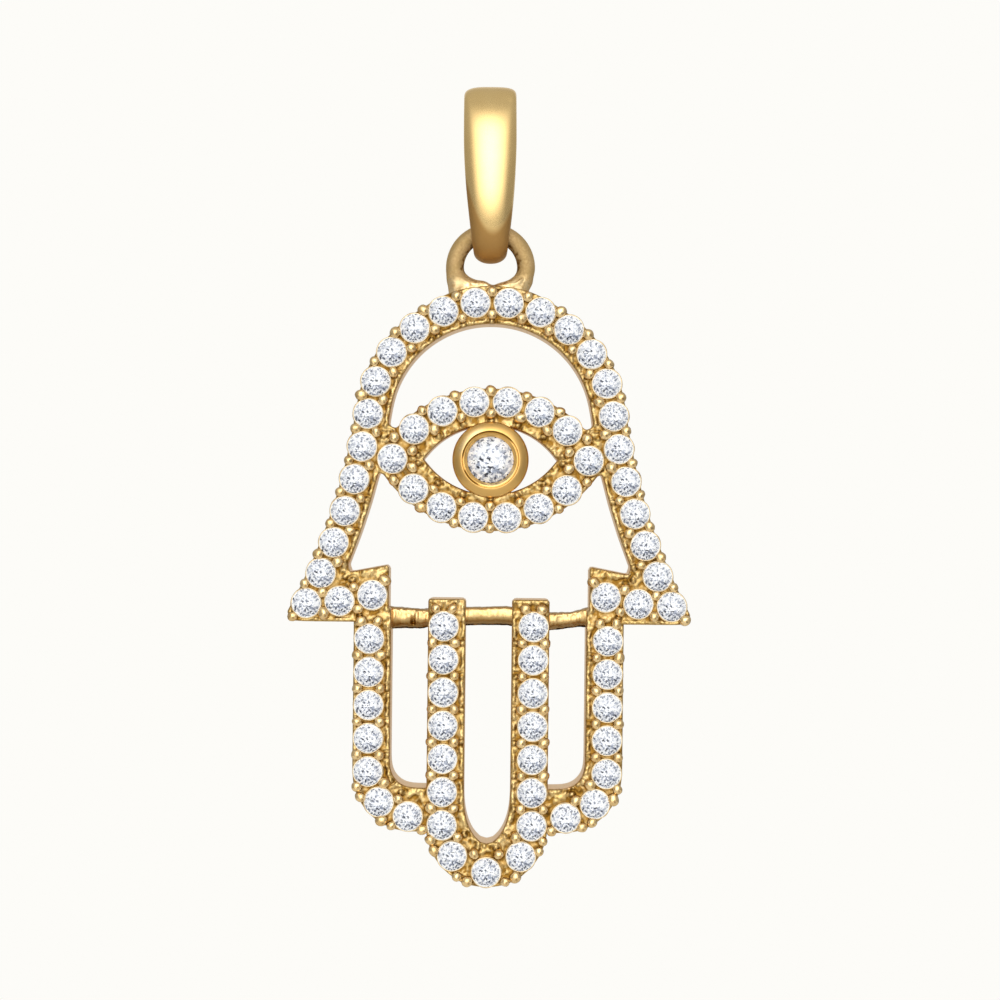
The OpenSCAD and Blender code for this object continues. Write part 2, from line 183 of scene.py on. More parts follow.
def bead_places(plate_front, eye, reach):
    """Centres of the beads, as x and z, from the balls that stand before the plate."""
    points, corners = merged(*node_mesh("hand_frame"))
    low = points[:, 1] < plate_front - 0.01
    low &= distance(points[:, [0, 2]], eye) > reach
    owner = np.arange(len(points))

    def root(i):
        while owner[i] != i:
            owner[i] = owner[owner[i]]
            i = owner[i]
        return i

    for a, b, c in corners[low[corners].all(1)]:
        owner[root(a)] = owner[root(b)]
        owner[root(c)] = owner[root(b)]
    groups = {}
    for i in np.flatnonzero(low):
        groups.setdefault(root(i), []).append(i)
    centres = []
    for members in groups.values():
        ball = points[members]
        if len(ball) < 6:
            continue
        unknowns = np.hstack([2 * ball, np.ones((len(ball), 1))])
        centre = np.linalg.lstsq(unknowns, (ball ** 2).sum(1), rcond=None)[0]
        centres.append((centre[0], centre[2]))
    return np.array(centres)


def cut_lines(points, corners, depth):
    """Line pieces, as rows of x z x z, where the plane y = depth cuts the triangles."""
    tri = points[corners]
    side = tri[:, :, 1] - depth
    low = side < 0
    cut = low.any(1) & ~low.all(1)
    tri, side, low = tri[cut], side[cut], low[cut]
    spots, crosses = [], []
    for a, b in ((0, 1), (1, 2), (2, 0)):
        cross = low[:, a] != low[:, b]
        share = side[:, a] / np.where(cross, side[:, a] - side[:, b], 1)
        spots.append(tri[:, a] + share[:, None] * (tri[:, b] - tri[:, a]))
        crosses.append(cross)
    spots, crosses = np.stack(spots, 1), np.stack(crosses, 1)
    rows = np.arange(len(spots))
    first = spots[rows, crosses.argmax(1)]
    last = spots[rows, 2 - crosses[:, ::-1].argmax(1)]
    lines = np.hstack([first[:, [0, 2]], last[:, [0, 2]]])
    return lines[distance(lines[:, :2], lines[:, 2:]) > 1e-5]


# Sheets that follow the plate's outline

# What the field holds outside the plate, away from its outline
FAR_OUT = -0.6
# Depth of wall over which the relief of a face fades out
FADE = 0.3


def widened(grid, turns):
    """The grid's filled cells and the cells within so many steps of them."""
    for _ in range(turns):
        wide = grid.copy()
        wide[1:] |= grid[:-1]
        wide[:-1] |= grid[1:]
        wide[:, 1:] |= wide[:, :-1].copy()
        wide[:, :-1] |= wide[:, 1:].copy()
        grid = wide
    return grid


def cell_mean(grid):
    """Mean of the four corners of each cell."""
    return (grid[:-1, :-1] + grid[1:, :-1] + grid[:-1, 1:] + grid[1:, 1:]) / 4


class Field:
    """Distance inside the plate's outline on a grid; outside it is below zero."""

    def __init__(self, step, stones, hole):
        lines = cut_lines(*node_mesh("hand_frame"), OUTLINE_Y)
        away = np.hypot(lines[:, None, 0] - stones[:, 0], lines[:, None, 1] - stones[:, 1])
        # The light holes' own circles are left out
        lines = lines[away.min(1) > 1.2 * hole]
        ends = lines.reshape(-1, 2)
        self.step, self.low = step, ends.min(0) - 4 * step
        count = ((ends.max(0) + 4 * step - self.low) / step).astype(int) + 1
        xs, zs = (self.low[k] + step * np.arange(count[k]) for k in (0, 1))
        within = np.zeros((len(zs), len(xs)), bool)
        x0, z0, x1, z1 = lines.T
        for i, z in enumerate(zs):
            hit = (z0 <= z) != (z1 <= z)
            cross = np.sort(x0[hit] + (z - z0[hit]) / (z1[hit] - z0[hit]) * (x1[hit] - x0[hit]))
            within[i] = np.searchsorted(cross, xs) % 2 == 1
        walls, faces = [], []
        for x0, z0, x1, z1 in lines:
            n = len(walls)
            walls += [(x0, -1, z0), (x1, -1, z1), (x1, 1, z1), (x0, 1, z0)]
            faces.append((n, n + 1, n + 2, n + 3))
        tree = BVHTree.FromPolygons(walls, faces)
        self.value = np.full(within.shape, FAR_OUT)
        for i, j in np.argwhere(widened(within, 3)):
            gap = tree.find_nearest(Vector((xs[j], 0, zs[i])))[3]
            self.value[i, j] = gap if within[i, j] else -gap
        self.x, self.z = np.meshgrid(xs, zs)

    def fill(self, x, z, radius, blend):
        """Adds a round patch of metal that runs smoothly into the plate."""
        patch = radius - np.hypot(self.x - x, self.z - z)
        close = np.maximum(blend - np.abs(self.value - patch), 0) / blend
        self.value = np.maximum(self.value, patch) + close * close * blend / 4

    def at(self, points):
        """Distance and its slope at points, read between the grid's points."""
        place = (points - self.low) / self.step
        base = np.floor(place).astype(int)
        base = np.clip(base, 0, np.array(self.value.shape)[::-1] - 2)
        (fx, fz), (j, i) = (place - base).T, base.T
        v00, v10 = self.value[i, j], self.value[i, j + 1]
        v01, v11 = self.value[i + 1, j], self.value[i + 1, j + 1]
        value = (v00 * (1 - fx) + v10 * fx) * (1 - fz) + (v01 * (1 - fx) + v11 * fx) * fz
        slope = np.column_stack([(v10 - v00) * (1 - fz) + (v11 - v01) * fz,
                                 (v01 - v00) * (1 - fx) + (v11 - v10) * fx]) / self.step
        return value, slope / np.maximum(np.hypot(*slope.T), 0.3)[:, None]


class Sheet:
    """A grid fitted to the outline, set in from it, open at the light holes."""

    def __init__(self, field, stones, inset, hole):
        self.field, self.stones, self.inset, self.hole = field, stones, inset, hole
        to_stone = np.full(field.x.shape, 9.0)
        for x, z in stones:
            to_stone = np.minimum(to_stone, np.hypot(field.x - x, field.z - z))
        self.keep = self.without_pinches((cell_mean(field.value) > inset) & (cell_mean(to_stone) > hole))
        self.spots = np.stack([field.x, field.z], -1)
        self.find_edges()
        self.fit_edges()
        self.number()

    @staticmethod
    def without_pinches(keep):
        """Fills cells until no two kept cells meet at a corner alone."""
        for _ in range(8):
            a, b, c, d = keep[:-1, :-1], keep[:-1, 1:], keep[1:, :-1], keep[1:, 1:]
            one = a & d & ~b & ~c
            two = b & c & ~a & ~d
            keep[:-1, 1:] |= one
            keep[:-1, :-1] |= two
        return keep

    def find_edges(self):
        """Marks the points in use and those at an edge, and strings the edges into loops."""
        keep = np.pad(self.keep, 1)
        around = [keep[:-1, :-1], keep[:-1, 1:], keep[1:, :-1], keep[1:, 1:]]
        count = sum(k.astype(int) for k in around)
        self.used, self.edge = count > 0, (count > 0) & (count < 4)
        after = {}
        columns = self.used.shape[1]
        for i, j in np.argwhere(self.keep):
            a, b = i * columns + j, i * columns + j + 1
            c, d = b + columns, a + columns
            if not keep[i, j + 1]:
                after[a] = b
            if not keep[i + 1, j + 2]:
                after[b] = c
            if not keep[i + 2, j + 1]:
                after[c] = d
            if not keep[i + 1, j]:
                after[d] = a
        self.loops = []
        while after:
            start, here = next(iter(after.items()))
            loop = [start]
            del after[start]
            while here != start:
                loop.append(here)
                here = after.pop(here)
            self.loops.append(loop)

    def fit_edges(self):
        """Draws each edge point to its line, evenly spaced, and eases the grid beside it."""
        flat = self.spots.reshape(-1, 2)
        self.is_hole, self.lines = [], []
        for loop in self.loops:
            away = distance(self.stones, flat[loop].mean(0))
            wide = np.ptp(flat[loop], axis=0).max()
            hole = self.stones[away.argmin()] if wide < 3 * self.hole else None
            self.is_hole.append(hole is not None)
            for turn in range(5):
                place = flat[loop]
                if turn:
                    place += 0.25 * (np.roll(place, 1, 0) + np.roll(place, -1, 0) - 2 * place)
                if hole is not None:
                    way = place - hole
                    place = hole + way / np.hypot(*way.T)[:, None] * self.hole
                    slope = 0 * place
                else:
                    for _ in range(2):
                        value, slope = self.field.at(place)
                        place = place + (self.inset - value)[:, None] * slope
                flat[loop] = place
            self.lines.append(self.evened(place - slope * self.inset))
        beside = self.used & ~self.edge & widened(self.edge, 2)
        for _ in range(6):
            mean = (np.roll(self.spots, 1, 0) + np.roll(self.spots, -1, 0)
                    + np.roll(self.spots, 1, 1) + np.roll(self.spots, -1, 1)) / 4
            self.spots[beside] = mean[beside]

    def evened(self, line):
        """Rounds off the short straight cuts of a curved line, and keeps its corners."""
        reach = max(2, round(0.15 / self.field.step))
        ahead, behind = np.roll(line, -reach, 0) - line, line - np.roll(line, reach, 0)
        share = (ahead * behind).sum(1) / np.maximum(np.hypot(*ahead.T) * np.hypot(*behind.T), 1e-9)
        free = share > 0.94
        for step in range(1, reach + 1):
            free &= np.roll(share, step) > 0.9
            free &= np.roll(share, -step) > 0.9
        for _ in range(round(0.1 / self.field.step ** 2)):
            middle = (np.roll(line, 1, 0) + np.roll(line, -1, 0)) / 2
            line = line + 0.5 * free[:, None] * (middle - line)
        return line

    def number(self):
        """Numbers the points in use, and the squares and rims by them."""
        order = np.full(self.used.size, -1)
        used = np.flatnonzero(self.used.ravel())
        order[used] = np.arange(len(used))
        self.points = self.spots.reshape(-1, 2)[used]
        columns = self.used.shape[1]
        a = (np.argwhere(self.keep) * (columns, 1)).sum(1)
        self.quads = order[np.stack([a, a + 1, a + columns + 1, a + columns], 1)]
        self.rims = [order[loop] for loop in self.loops]


def skirt(sheet, heights, front, profile, hole_depth, sign):
    """Points and faces of a sheet with its rounded edges and walls, and which points line a light hole.

    Sign -1 faces the front. With no hole depth, the light holes have no wall.
    """
    points = np.column_stack([sheet.points[:, 0], sign * (front + heights), sheet.points[:, 1]])
    faces = [tuple(q) for q in sheet.quads]
    parts, total = [points], len(points)
    in_hole = [np.zeros(total, bool)]
    for rim, line, is_hole in zip(sheet.rims, sheet.lines, sheet.is_hole):
        if is_hole and hole_depth == 0:
            continue
        flat = sheet.points[rim]
        rows = [list(rim)]
        steps = ((1, 0.015), (1, 0.05), (1, hole_depth)) if is_hole else profile
        for share, depth in steps:
            place = flat if is_hole else line + (flat - line) * share
            rise = heights[rim] * max(0, 1 - depth / FADE)
            parts.append(np.column_stack([place[:, 0], sign * (front + rise - depth), place[:, 1]]))
            in_hole.append(np.full(len(rim), is_hole))
            rows.append(list(range(total, total + len(rim))))
            total += len(rim)
        for upper, lower in zip(rows, rows[1:]):
            for i in range(len(upper)):
                j = (i + 1) % len(upper)
                faces.append((upper[j], upper[i], lower[i], lower[j]))
    if sign > 0:
        faces = [f[::-1] for f in faces]
    return np.vstack(parts), faces, np.concatenate(in_hole)


# Materials


class Nodes:
    """Short ways to add nodes to a material or a world and to join them."""

    def __init__(self, owner):
        owner.use_nodes = True
        self.tree = owner.node_tree

    def feed(self, node, inputs):
        """Links or sets a node's inputs: a socket, a number or a colour for each."""
        for name, value in inputs.items():
            if isinstance(value, bpy.types.NodeSocket):
                self.tree.links.new(value, node.inputs[name])
            else:
                node.inputs[name].default_value = value if isinstance(value, (int, float)) else (*value, 1)
        return node

    def add(self, kind, inputs):
        return self.feed(self.tree.nodes.new("ShaderNode" + kind), inputs)

    def tone(self, name):
        """What a piece's mesh holds under this name, as a value or as a colour."""
        node = self.add("Attribute", {})
        node.attribute_name = name
        return node.outputs

    def noise(self, size, detail, roughness=0.5):
        """Noise in the object's own metres, with features of about the given size in millimetres."""
        place = self.add("TexCoord", {}).outputs["Object"]
        return self.add("TexNoise", {"Vector": place, "Scale": 1 / (size * MM), "Detail": detail,
                                     "Roughness": roughness}).outputs["Fac"]

    def scaled(self, value, low, high, to_low, to_high):
        return self.add("MapRange", {"Value": value, "From Min": low, "From Max": high,
                                     "To Min": to_low, "To Max": to_high}).outputs["Result"]

    def math(self, operation, *values):
        node = self.add("Math", dict(enumerate(values)))
        node.operation = operation
        return node.outputs["Value"]

    def mix(self, factor, first, second):
        node = self.add("Mix", {})
        node.data_type = "RGBA"
        return self.feed(node, {"Factor": factor, "A": first, "B": second}).outputs["Result"]

    def bump(self, height, distance, strength):
        return self.add("Bump", {"Height": height, "Distance": distance * MM,
                                 "Strength": strength}).outputs["Normal"]


def new_finish(name):
    """The nodes of a new material, and its shader."""
    nodes = Nodes(bpy.data.materials.new(name))
    return nodes, nodes.tree.nodes["Principled BSDF"]


def cast_gold(name, deep, pale, colours, rough, bump, mottle=0):
    """Cast and tumbled gold: fine grain and random mottling, painted shade in deeper orange where the metal lies
    low, painted highlights in paler, glossier gold where the sheen tone lies, and paler gold painted on the side
    walls as painted light.
    """
    nodes, shader = new_finish(name)
    # Painted shade, painted light on the side walls and painted highlight, each read from the mesh
    low, wall_painted_light, wear_and_sheen = (nodes.tone(tone)["Fac"] for tone in ("crevice_shade", "wall_painted_light", "wear_and_sheen"))
    fine = nodes.noise(0.08, 3, 0.6)
    gold = nodes.mix(nodes.scaled(nodes.noise(0.5, 3), 0.3, 0.7, 0, 1), deep, pale)
    gold = nodes.mix(nodes.scaled(nodes.noise(0.13, 2, 0.6), 0.5, 0.68, 0, mottle), gold, colours.mottle)
    # Painted highlight: paler gold where the sheen tone lies
    gold = nodes.mix(wear_and_sheen, gold, colours.bead)
    # Painted shade: deeper gold where the metal lies low
    gold = nodes.mix(low, gold, colours.crevice_shade)
    even, glossy = nodes.scaled(fine, 0.3, 0.7, 0.75 * rough, rough), nodes.scaled(wear_and_sheen, 0, 1, 1, 0.5)
    # Painted light: paler gold on the side walls, whose roughness is that of the rest
    nodes.feed(shader, {"Base Color": nodes.mix(wall_painted_light, gold, colours.wall_painted_light), "Metallic": 1,
                        "Roughness": nodes.math("MULTIPLY", even, glossy),
                        "Normal": nodes.bump(fine, bump, 0.6)})


def polished_gold(colours):
    """Polished gold with the faint lines that a buffing wheel leaves, with painted shade in a deeper gold at the
    foot, which is also matt.
    """
    nodes, shader = new_finish("buffed_gold")
    foot, fine = nodes.tone("foot")["Fac"], nodes.noise(0.05, 3)
    gold = nodes.mix(nodes.noise(0.8, 2), colours.polished, colours.polished_deep)
    even, matt = nodes.scaled(fine, 0.3, 0.7, 0.24, 0.3), nodes.scaled(foot, 0, 1, 0, 0.3)
    nodes.feed(shader, {"Base Color": nodes.mix(foot, gold, colours.foot), "Metallic": 1,
                        "Roughness": nodes.math("ADD", even, matt),
                        "Normal": nodes.bump(fine, 0.0005, 0.3)})


def white_stone():
    """Clear cut stone: painted reflections, bright and dark, in each facet's colour, and the gloss of a hard
    surface.
    """
    nodes, shader = new_finish("stone_painted_reflections")
    nodes.feed(shader, {"Base Color": nodes.tone("facet")["Color"], "Roughness": 0.3,
                        "Specular IOR Level": 0.25})


def pale_floor(colours):
    """Plain matt floor with a faint cloud in its colour."""
    nodes, shader = new_finish("pale_floor")
    paler = [min(1, c * 1.02) for c in colours.floor]
    nodes.feed(shader, {"Base Color": nodes.mix(nodes.noise(9, 2), colours.floor, paler), "Roughness": 0.7})


# Sizes and colours that can be changed


def length(name, text, value):
    """A length, given in millimetres."""
    return bpy.props.FloatProperty(name=name, description=text, default=value * MM, unit="LENGTH", precision=6)


def tint(name, text, value):
    """A colour of metal, stone or stage."""
    return bpy.props.FloatVectorProperty(
        name=name, description=text, default=value, subtype="COLOR", size=3, min=0, max=1)


class PendantSizes(bpy.types.PropertyGroup):
    """Sizes of the surface detail."""

    plate_front: length("Plate front", "Distance of the plate's faces from its middle", 0.75)
    grid_step: length("Front grid", "Spacing of the points on the front", 0.04)
    back_step: length("Back grid", "Spacing of the points on the back", 0.07)
    edge_round: length("Front edge", "Width of the front's rounded edge", 0.05)
    back_round: length("Back edge", "Width of the back's rounded edge", 0.06)
    light_hole: length("Light hole", "Radius of the open hole behind each stone", 0.2)
    stone_width: length("Stone", "Diameter of the small stones", 1)
    centre_width: length("Centre stone", "Diameter of the stone in the eye", 1.7)
    bead_radius: length("Bead", "Radius of the beads that hold the stones", 0.172)
    rail_rise: length("Rail", "Height of the rail along the inner edges", 0.04)
    cast_grain: length("Cast grain", "Height of the hammered look of the open metal", 0.035)
    loop_wire: length("Loop wire", "Diameter of the loop's wire", 0.58)
    loop_bore: length("Loop bore", "Inside diameter of the loop", 1.86)
    bar_width: length("Crossbar", "Diameter of the crossbar", 0.7)
    bail_width: length("Bail", "Width of the bail over its upper half", 1.82)
    bail_foot: length("Bail foot", "Width of the bail in the loop", 1.1)
    bail_top_band: length("Bail band", "Thickness of the bail's band at the top", 0.45)
    bail_foot_band: length("Bail foot band", "Thickness of the bail's band in the loop", 0.5)
    bail_taper: length("Bail taper", "Height over which the bail widens", 4)
    camera_away: length("Camera", "Distance of the camera from the front", 80)


class PendantColours(bpy.types.PropertyGroup):
    """Colours of the gold, the stones and the stage."""

    cast: tint("Cast gold", "Gold of the hand", (0.625, 0.445, 0.168))
    cast_pale: tint("Pale cast gold", "Gold of the hand where it is worn", (0.78, 0.58, 0.275))
    bezel: tint("Bezel gold", "Gold of the bezel", (0.74, 0.46, 0.15))
    # Also the paler gold of the painted highlights
    bead: tint("Bead gold", "Gold of the beads where they are worn", (1, 0.77, 0.42))
    bead_deep: tint("Deep bead gold", "Gold of the beads", (0.82, 0.56, 0.245))
    loop: tint("Loop gold", "Gold of the loop", (0.56, 0.41, 0.19))
    loop_pale: tint("Pale loop gold", "Gold of the loop where it is worn", (0.65, 0.48, 0.25))
    # Painted shade: deeper gold laid in grooves, hollows, holes and under parts
    crevice_shade: tint("Crevice", "Gold low between the stones", (0.22, 0.11, 0.017))
    mottle: tint("Mottling", "Deeper spots in the cast gold", (0.35, 0.175, 0.026))
    # Painted light: paler gold laid on the side walls for the light they catch from the bright surroundings
    wall_painted_light: tint("Side walls", "Matt gold of the side walls", (0.87, 0.6, 0.31))
    # Painted highlight: pale gold that makes the collars read as bright rims
    collar_highlight: tint("Collars", "Bright gold of the stones' collars", (0.96, 0.82, 0.56))
    # Painted shade: deeper gold laid on the bail's foot, down in the loop
    foot: tint("Bail foot", "Deeper gold at the foot of the bail", (0.5, 0.295, 0.1))
    polished: tint("Polished gold", "Gold of the bail", (0.94, 0.69, 0.31))
    polished_deep: tint("Deep polished gold", "Second tone of the polished gold", (0.88, 0.62, 0.26))
    # Painted reflections: the stones' bright, blue-grey and dark facet tones
    stone: tint("Stone", "Bright facets", (0.885, 0.912, 0.93))
    stone_grey: tint("Stone grey", "Blue-grey facets", (0.34, 0.38, 0.47))
    stone_dark: tint("Stone dark", "Dark facets", (0.02, 0.023, 0.036))
    floor: tint("Floor", "Plain floor", (0.95, 0.94, 0.91))
    backdrop: tint("Backdrop", "Plain background", (0.982, 0.973, 0.939))


def sizes_of(context):
    """The sizes, in millimetres."""
    group = context.scene.pendant_sizes
    return {name: getattr(group, name) / MM for name in PendantSizes.__annotations__}


# The cast plate

# Rounded edge and side wall: share of the edge's width still set in, and depth behind the face
FRONT_WALL = ((0.55, 0.012), (0.15, 0.04), (0, 0.09), (0, 0.4), (0, 0.9), (0.35, 1.3))
BACK_WALL = ((0.5, 0.012), (0, 0.06), (0, 0.1), (0, 0.3), (0.5, 0.65))
# Filled corners, the same left and right: x, z from the eye's centre, radius, blend
WEBS = ((3.55, 0.87, 0.27, 0.25), (3.8, -0.36, 0.12, 0.2), (4.95, -3.87, 0.1, 0.25))


def neighbours(stones, low, high):
    """Pairs of stones whose centres are from low to high apart."""
    pairs = []
    for i in range(len(stones)):
        for j in range(i + 1, len(stones)):
            if low < distance(stones[i], stones[j]) < high:
                pairs.append((i, j))
    return pairs


def rail_nubs(field, stones):
    """Places beside the gaps, on the side where the metal reaches further."""
    aside, clear, inside = 0.64, 0.66, 0.05
    places = []
    for i, j in neighbours(stones, 1.05, 1.32):
        middle = (stones[i] + stones[j]) / 2
        along = (stones[j] - stones[i]) / distance(stones[j], stones[i])
        across = np.array((along[1], -along[0]))
        for way in (1, -1):
            spot = middle + way * aside * across
            if field.at(spot[None])[0][0] > inside and distance(stones, spot).min() > clear:
                places.append(spot)
    return np.array(places)


def least(points, places):
    """Distance from each point to the nearest of the places."""
    best = np.full(len(points), 9.0)
    for place in places:
        best = np.minimum(best, distance(points, place))
    return best


def fill_webs(field, eye):
    """Metal that fills the corners where the lids meet the arch and the shoulders meet the flares."""
    for side in (-1, 1):
        for x, z, radius, blend in WEBS:
            field.fill(side * x, eye[1] + z, radius, blend)


def front_relief(sheet, stones, beads, nubs, eye, size):
    """Height above the plate's front, and the painted shade at each point: in the valleys round the stones, round
    the beads and nubs and in the lows of the lumps, less on the rails.
    """
    points = sheet.points
    to_stone, to_bead, to_nub = least(points, stones), least(points, beads), least(points, nubs)
    edge = sheet.field.at(points)[0]
    from_eye = distance(points, eye)
    open_metal = smooth(0.62, 0.95, to_stone) * smooth(1.3, 1.5, from_eye)
    flat = [(x, 0, z) for x, z in points]
    lumps, fine = grain(flat, 0.3, 1), grain(flat, 0.13, 2)
    valley = -0.03 * hump(0.58, 0.1, to_stone)
    rail = size["rail_rise"] * hump(0.1, 0.05, edge) * smooth(0.54, 0.62, to_stone)
    between = smooth(0.64, 0.8, to_stone) * (1 - smooth(0.9, 1.3, to_stone))
    rail *= smooth(0.1, 0.19, to_nub) * (1 + 1.2 * fine) * (1 - 0.6 * between)
    nub = 0.06 * np.sqrt(np.maximum(0, 1 - (to_nub / 0.11) ** 2)) - 0.03 * hump(0.15, 0.04, to_nub)
    mound = 0.05 * hump(0, 0.17, to_bead)
    rough = (0.7 * lumps + 0.9 * fine) * size["cast_grain"] * (0.9 + 0.9 * open_metal)
    height = np.where((to_stone < 0.46) & (edge > 0.1), -0.12, valley + rail + nub + mound + rough)
    # Painted shade round the stones, beads and nubs and in the lumps' lows, less on the rails
    low = hump(0.57, 0.09, to_stone) * smooth(0.12, 0.24, to_bead) + 0.8 * hump(0.2, 0.045, to_bead)
    crevice_shade = 0.7 * low + 0.6 * hump(0.15, 0.05, to_nub) + smooth(0.02, 0.4, -lumps - 0.8 * fine)
    crevice_shade -= 0.8 * hump(0.1, 0.06, edge) * (1 - 0.8 * between)
    return height, crevice_shade


def wall_tone(points, inner, face, sign):
    """Where the walls' painted light goes: 1 on the side walls behind a face and its rounded edge, 0 on the face's
    own points.
    """
    behind = smooth(0.04, 0.08, sign * (face - points[:, 1]))
    behind[:inner] = 0
    return behind


def seated_beads(field, front, eye):
    """Bead centres, drawn in a little where they would overhang the plate."""
    past_bezel, wanted, most = 1.45, 0.11, 0.07
    places = bead_places(-front, eye, past_bezel)
    inside, inward = field.at(places)
    return places + inward * np.clip(wanted - inside, 0, most)[:, None]


def plate_sheet(stones, eye, step, inset, hole):
    """A sheet over the plate with its webs filled, set in from the outline."""
    field = Field(step, stones, hole)
    fill_webs(field, eye)
    return Sheet(field, stones, inset, hole)


class PENDANT_OT_frame(bpy.types.Operator):
    """Cast plate of the hand: front with its rails and seats, and plain back"""

    bl_idname = "pendant.frame"
    bl_label = "Cast frame"

    def execute(self, context):
        size = sizes_of(context)
        stones, eye = all_stones(), eye_centre()
        front, hole = size["plate_front"], size["light_hole"]
        sheet = plate_sheet(stones, eye, size["grid_step"], size["edge_round"], hole)
        beads, nubs = seated_beads(sheet.field, front, eye), rail_nubs(sheet.field, stones)
        height, crevice_shade = front_relief(sheet, stones, beads, nubs, eye, size)
        points, faces, _ = skirt(sheet, height, front, FRONT_WALL, 0, -1)
        face = make_piece("frame_front", points, faces, "hammered_gold")
        # Painted shade of 0.3 on the edge and walls, the relief's own painted shade on the face
        tone = np.full(len(points), 0.3)
        tone[:len(crevice_shade)] = crevice_shade
        set_tone(face, "crevice_shade", tone)
        # Painted light on the side walls
        set_tone(face, "wall_painted_light", wall_tone(points, len(crevice_shade), -front, -1))
        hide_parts("hand_frame")
        sheet = plate_sheet(stones, eye, size["back_step"], size["back_round"], hole)
        height = np.minimum(0, 0.01 * grain([(x, 5, z) for x, z in sheet.points], 0.5, 3))
        points, faces, in_hole = skirt(sheet, height, front, BACK_WALL, 1.2, 1)
        back = make_piece("frame_back", points, faces, "back_gold")
        # Painted shade inside the light holes, less at their mouths, a little on the back
        inside = in_hole & (points[:, 1] < front - 0.1)
        set_tone(back, "crevice_shade", np.where(inside, 0.6, np.where(in_hole, 0.4, 0.1)))
        # Painted light on the side walls, none in the light holes
        set_tone(back, "wall_painted_light", np.where(in_hole, 0, wall_tone(points, len(height), front, 1)))
        return {"FINISHED"}


# Beads

# How far the beads' centres stand before the plate
BEAD_RISE = 0.06
# Section of a collar: distance outside the stone, height above the plate, and depth of its painted shade
COLLAR = ((-0.16, -0.08, 0.3), (0.025, -0.06, 0.3), (0.04, -0.04, 0.3), (0.044, 0.04, 0.5), (0.04, 0.07, 0.4),
          (0.028, 0.088, 0.15), (0.01, 0.092, 0), (-0.006, 0.07, 0), (-0.01, 0.02, 0.6))


class PENDANT_OT_beads(bpy.types.Operator):
    """Beads raised from the plate that hold the stones"""

    bl_idname = "pendant.beads"
    bl_label = "Beads"

    def execute(self, context):
        size = sizes_of(context)
        front = size["plate_front"]
        middle = -front - BEAD_RISE
        places = seated_beads(Field(0.1, all_stones(), size["light_hole"]), front, eye_centre())
        dice = random.Random(4)
        points, faces, tones = [], [], []
        rings, sides, last_ring = 12, 20, math.radians(165)
        for x, z in places:
            radius = size["bead_radius"] * dice.uniform(0.96, 1.16)
            turn, stretch = dice.uniform(0, math.pi), dice.uniform(0, 0.22)
            tall = radius * dice.uniform(0.8, 1)
            hollow = Vector((dice.uniform(0.2, 0.5), -0.9, dice.uniform(-0.5, -0.1))).normalized()
            shift = Vector((dice.random(), dice.random(), dice.random())) * 9
            start = len(points)
            for i in range(rings):
                lean = last_ring * (i + 0.5) / rings
                for c, s in circle(sides, 0.5 * (i % 2)):
                    way = Vector((math.sin(lean) * c, -math.cos(lean), math.sin(lean) * s))
                    dent = math.exp(-((way.angle(hollow) / 0.2) ** 2))
                    reach = 1 - 0.12 * dent + 0.09 * noise.noise(way * 1.3 + shift)
                    along = stretch * (way.x * math.cos(turn) + way.z * math.sin(turn))
                    points.append((x + radius * reach * (way.x + along * math.cos(turn)),
                                   middle + tall * reach * way.y,
                                   z + radius * reach * (way.z + along * math.sin(turn))))
                    # Painted shade in the small dent and on the lower flank
                    tones.append(dent + 0.8 * hump(100, 32, math.degrees(lean)))
            points += [(x, middle - tall, z), (x, middle + tall, z)]
            tones += [0, 0]
            faces += ring_faces(rings, sides, start=start)
            tip, tail = len(points) - 2, start + (rings - 1) * sides
            for j in range(sides):
                k = (j + 1) % sides
                faces += [(start + j, tip, start + k), (tail + k, tip + 1, tail + j)]
        beads = make_piece("beads", points, [f[::-1] for f in faces], "bead_gold")
        set_tone(beads, "crevice_shade", tones)
        return {"FINISHED"}


class PENDANT_OT_collars(bpy.types.Operator):
    """Thin cut rims of metal round the small stones"""

    bl_idname = "pendant.collars"
    bl_label = "Stone collars"

    def execute(self, context):
        size = sizes_of(context)
        front, half, sides = size["plate_front"], size["stone_width"] / 2, 40
        points, faces, tones = [], [], []
        for x, z in all_stones():
            faces += ring_faces(len(COLLAR), sides, closed_rows=True, start=len(points))
            for spread, rise, tone in COLLAR:
                for c, s in circle(sides):
                    way = Vector((c, 0, s))
                    wear_and_sheen = noise.noise(Vector((x, 0, z)) * 3 + way * 1.6)
                    reach = half + spread + 0.016 * wear_and_sheen
                    points.append((x + reach * way.x, -front - rise - (0.02 * wear_and_sheen if rise > 0 else 0),
                                   z + reach * way.z))
                    # Painted shade, with more at random where the rim's noise rises
                    tones.append(tone + max(0, 0.9 * wear_and_sheen))
        rims = make_piece("stone_collars", points, faces, "collar_gold")
        set_tone(rims, "crevice_shade", tones)
        return {"FINISHED"}


# Loop

# Place of the loop's middle from side to side
LOOP_X = -0.05


def remeshed(points, faces, voxel):
    """One even skin round overlapping closed forms, all in millimetres."""
    body = new_object("remeshed", points, faces)
    mesh = body.data
    remesh = body.modifiers.new("remesh", "REMESH")
    remesh.mode = "VOXEL"
    remesh.voxel_size = voxel
    bpy.context.view_layer.update()
    solid = body.evaluated_get(bpy.context.evaluated_depsgraph_get()).to_mesh()
    done = np.array([v.co for v in solid.vertices]), [tuple(p.vertices) for p in solid.polygons]
    bpy.data.objects.remove(body)
    bpy.data.meshes.remove(mesh)
    return done


def ease(points, faces, share, turns):
    """Draws each point toward the middle of its neighbours, by its own share."""
    start, end = np.array([(f[i - 1], f[i]) for f in faces for i in range(len(f))]).T
    count = np.maximum(np.bincount(end, minlength=len(points)), 1)[:, None]
    for _ in range(turns):
        total = np.column_stack([np.bincount(end, column[start], len(points)) for column in points.T])
        points += 0.5 * share * (total / count - points)


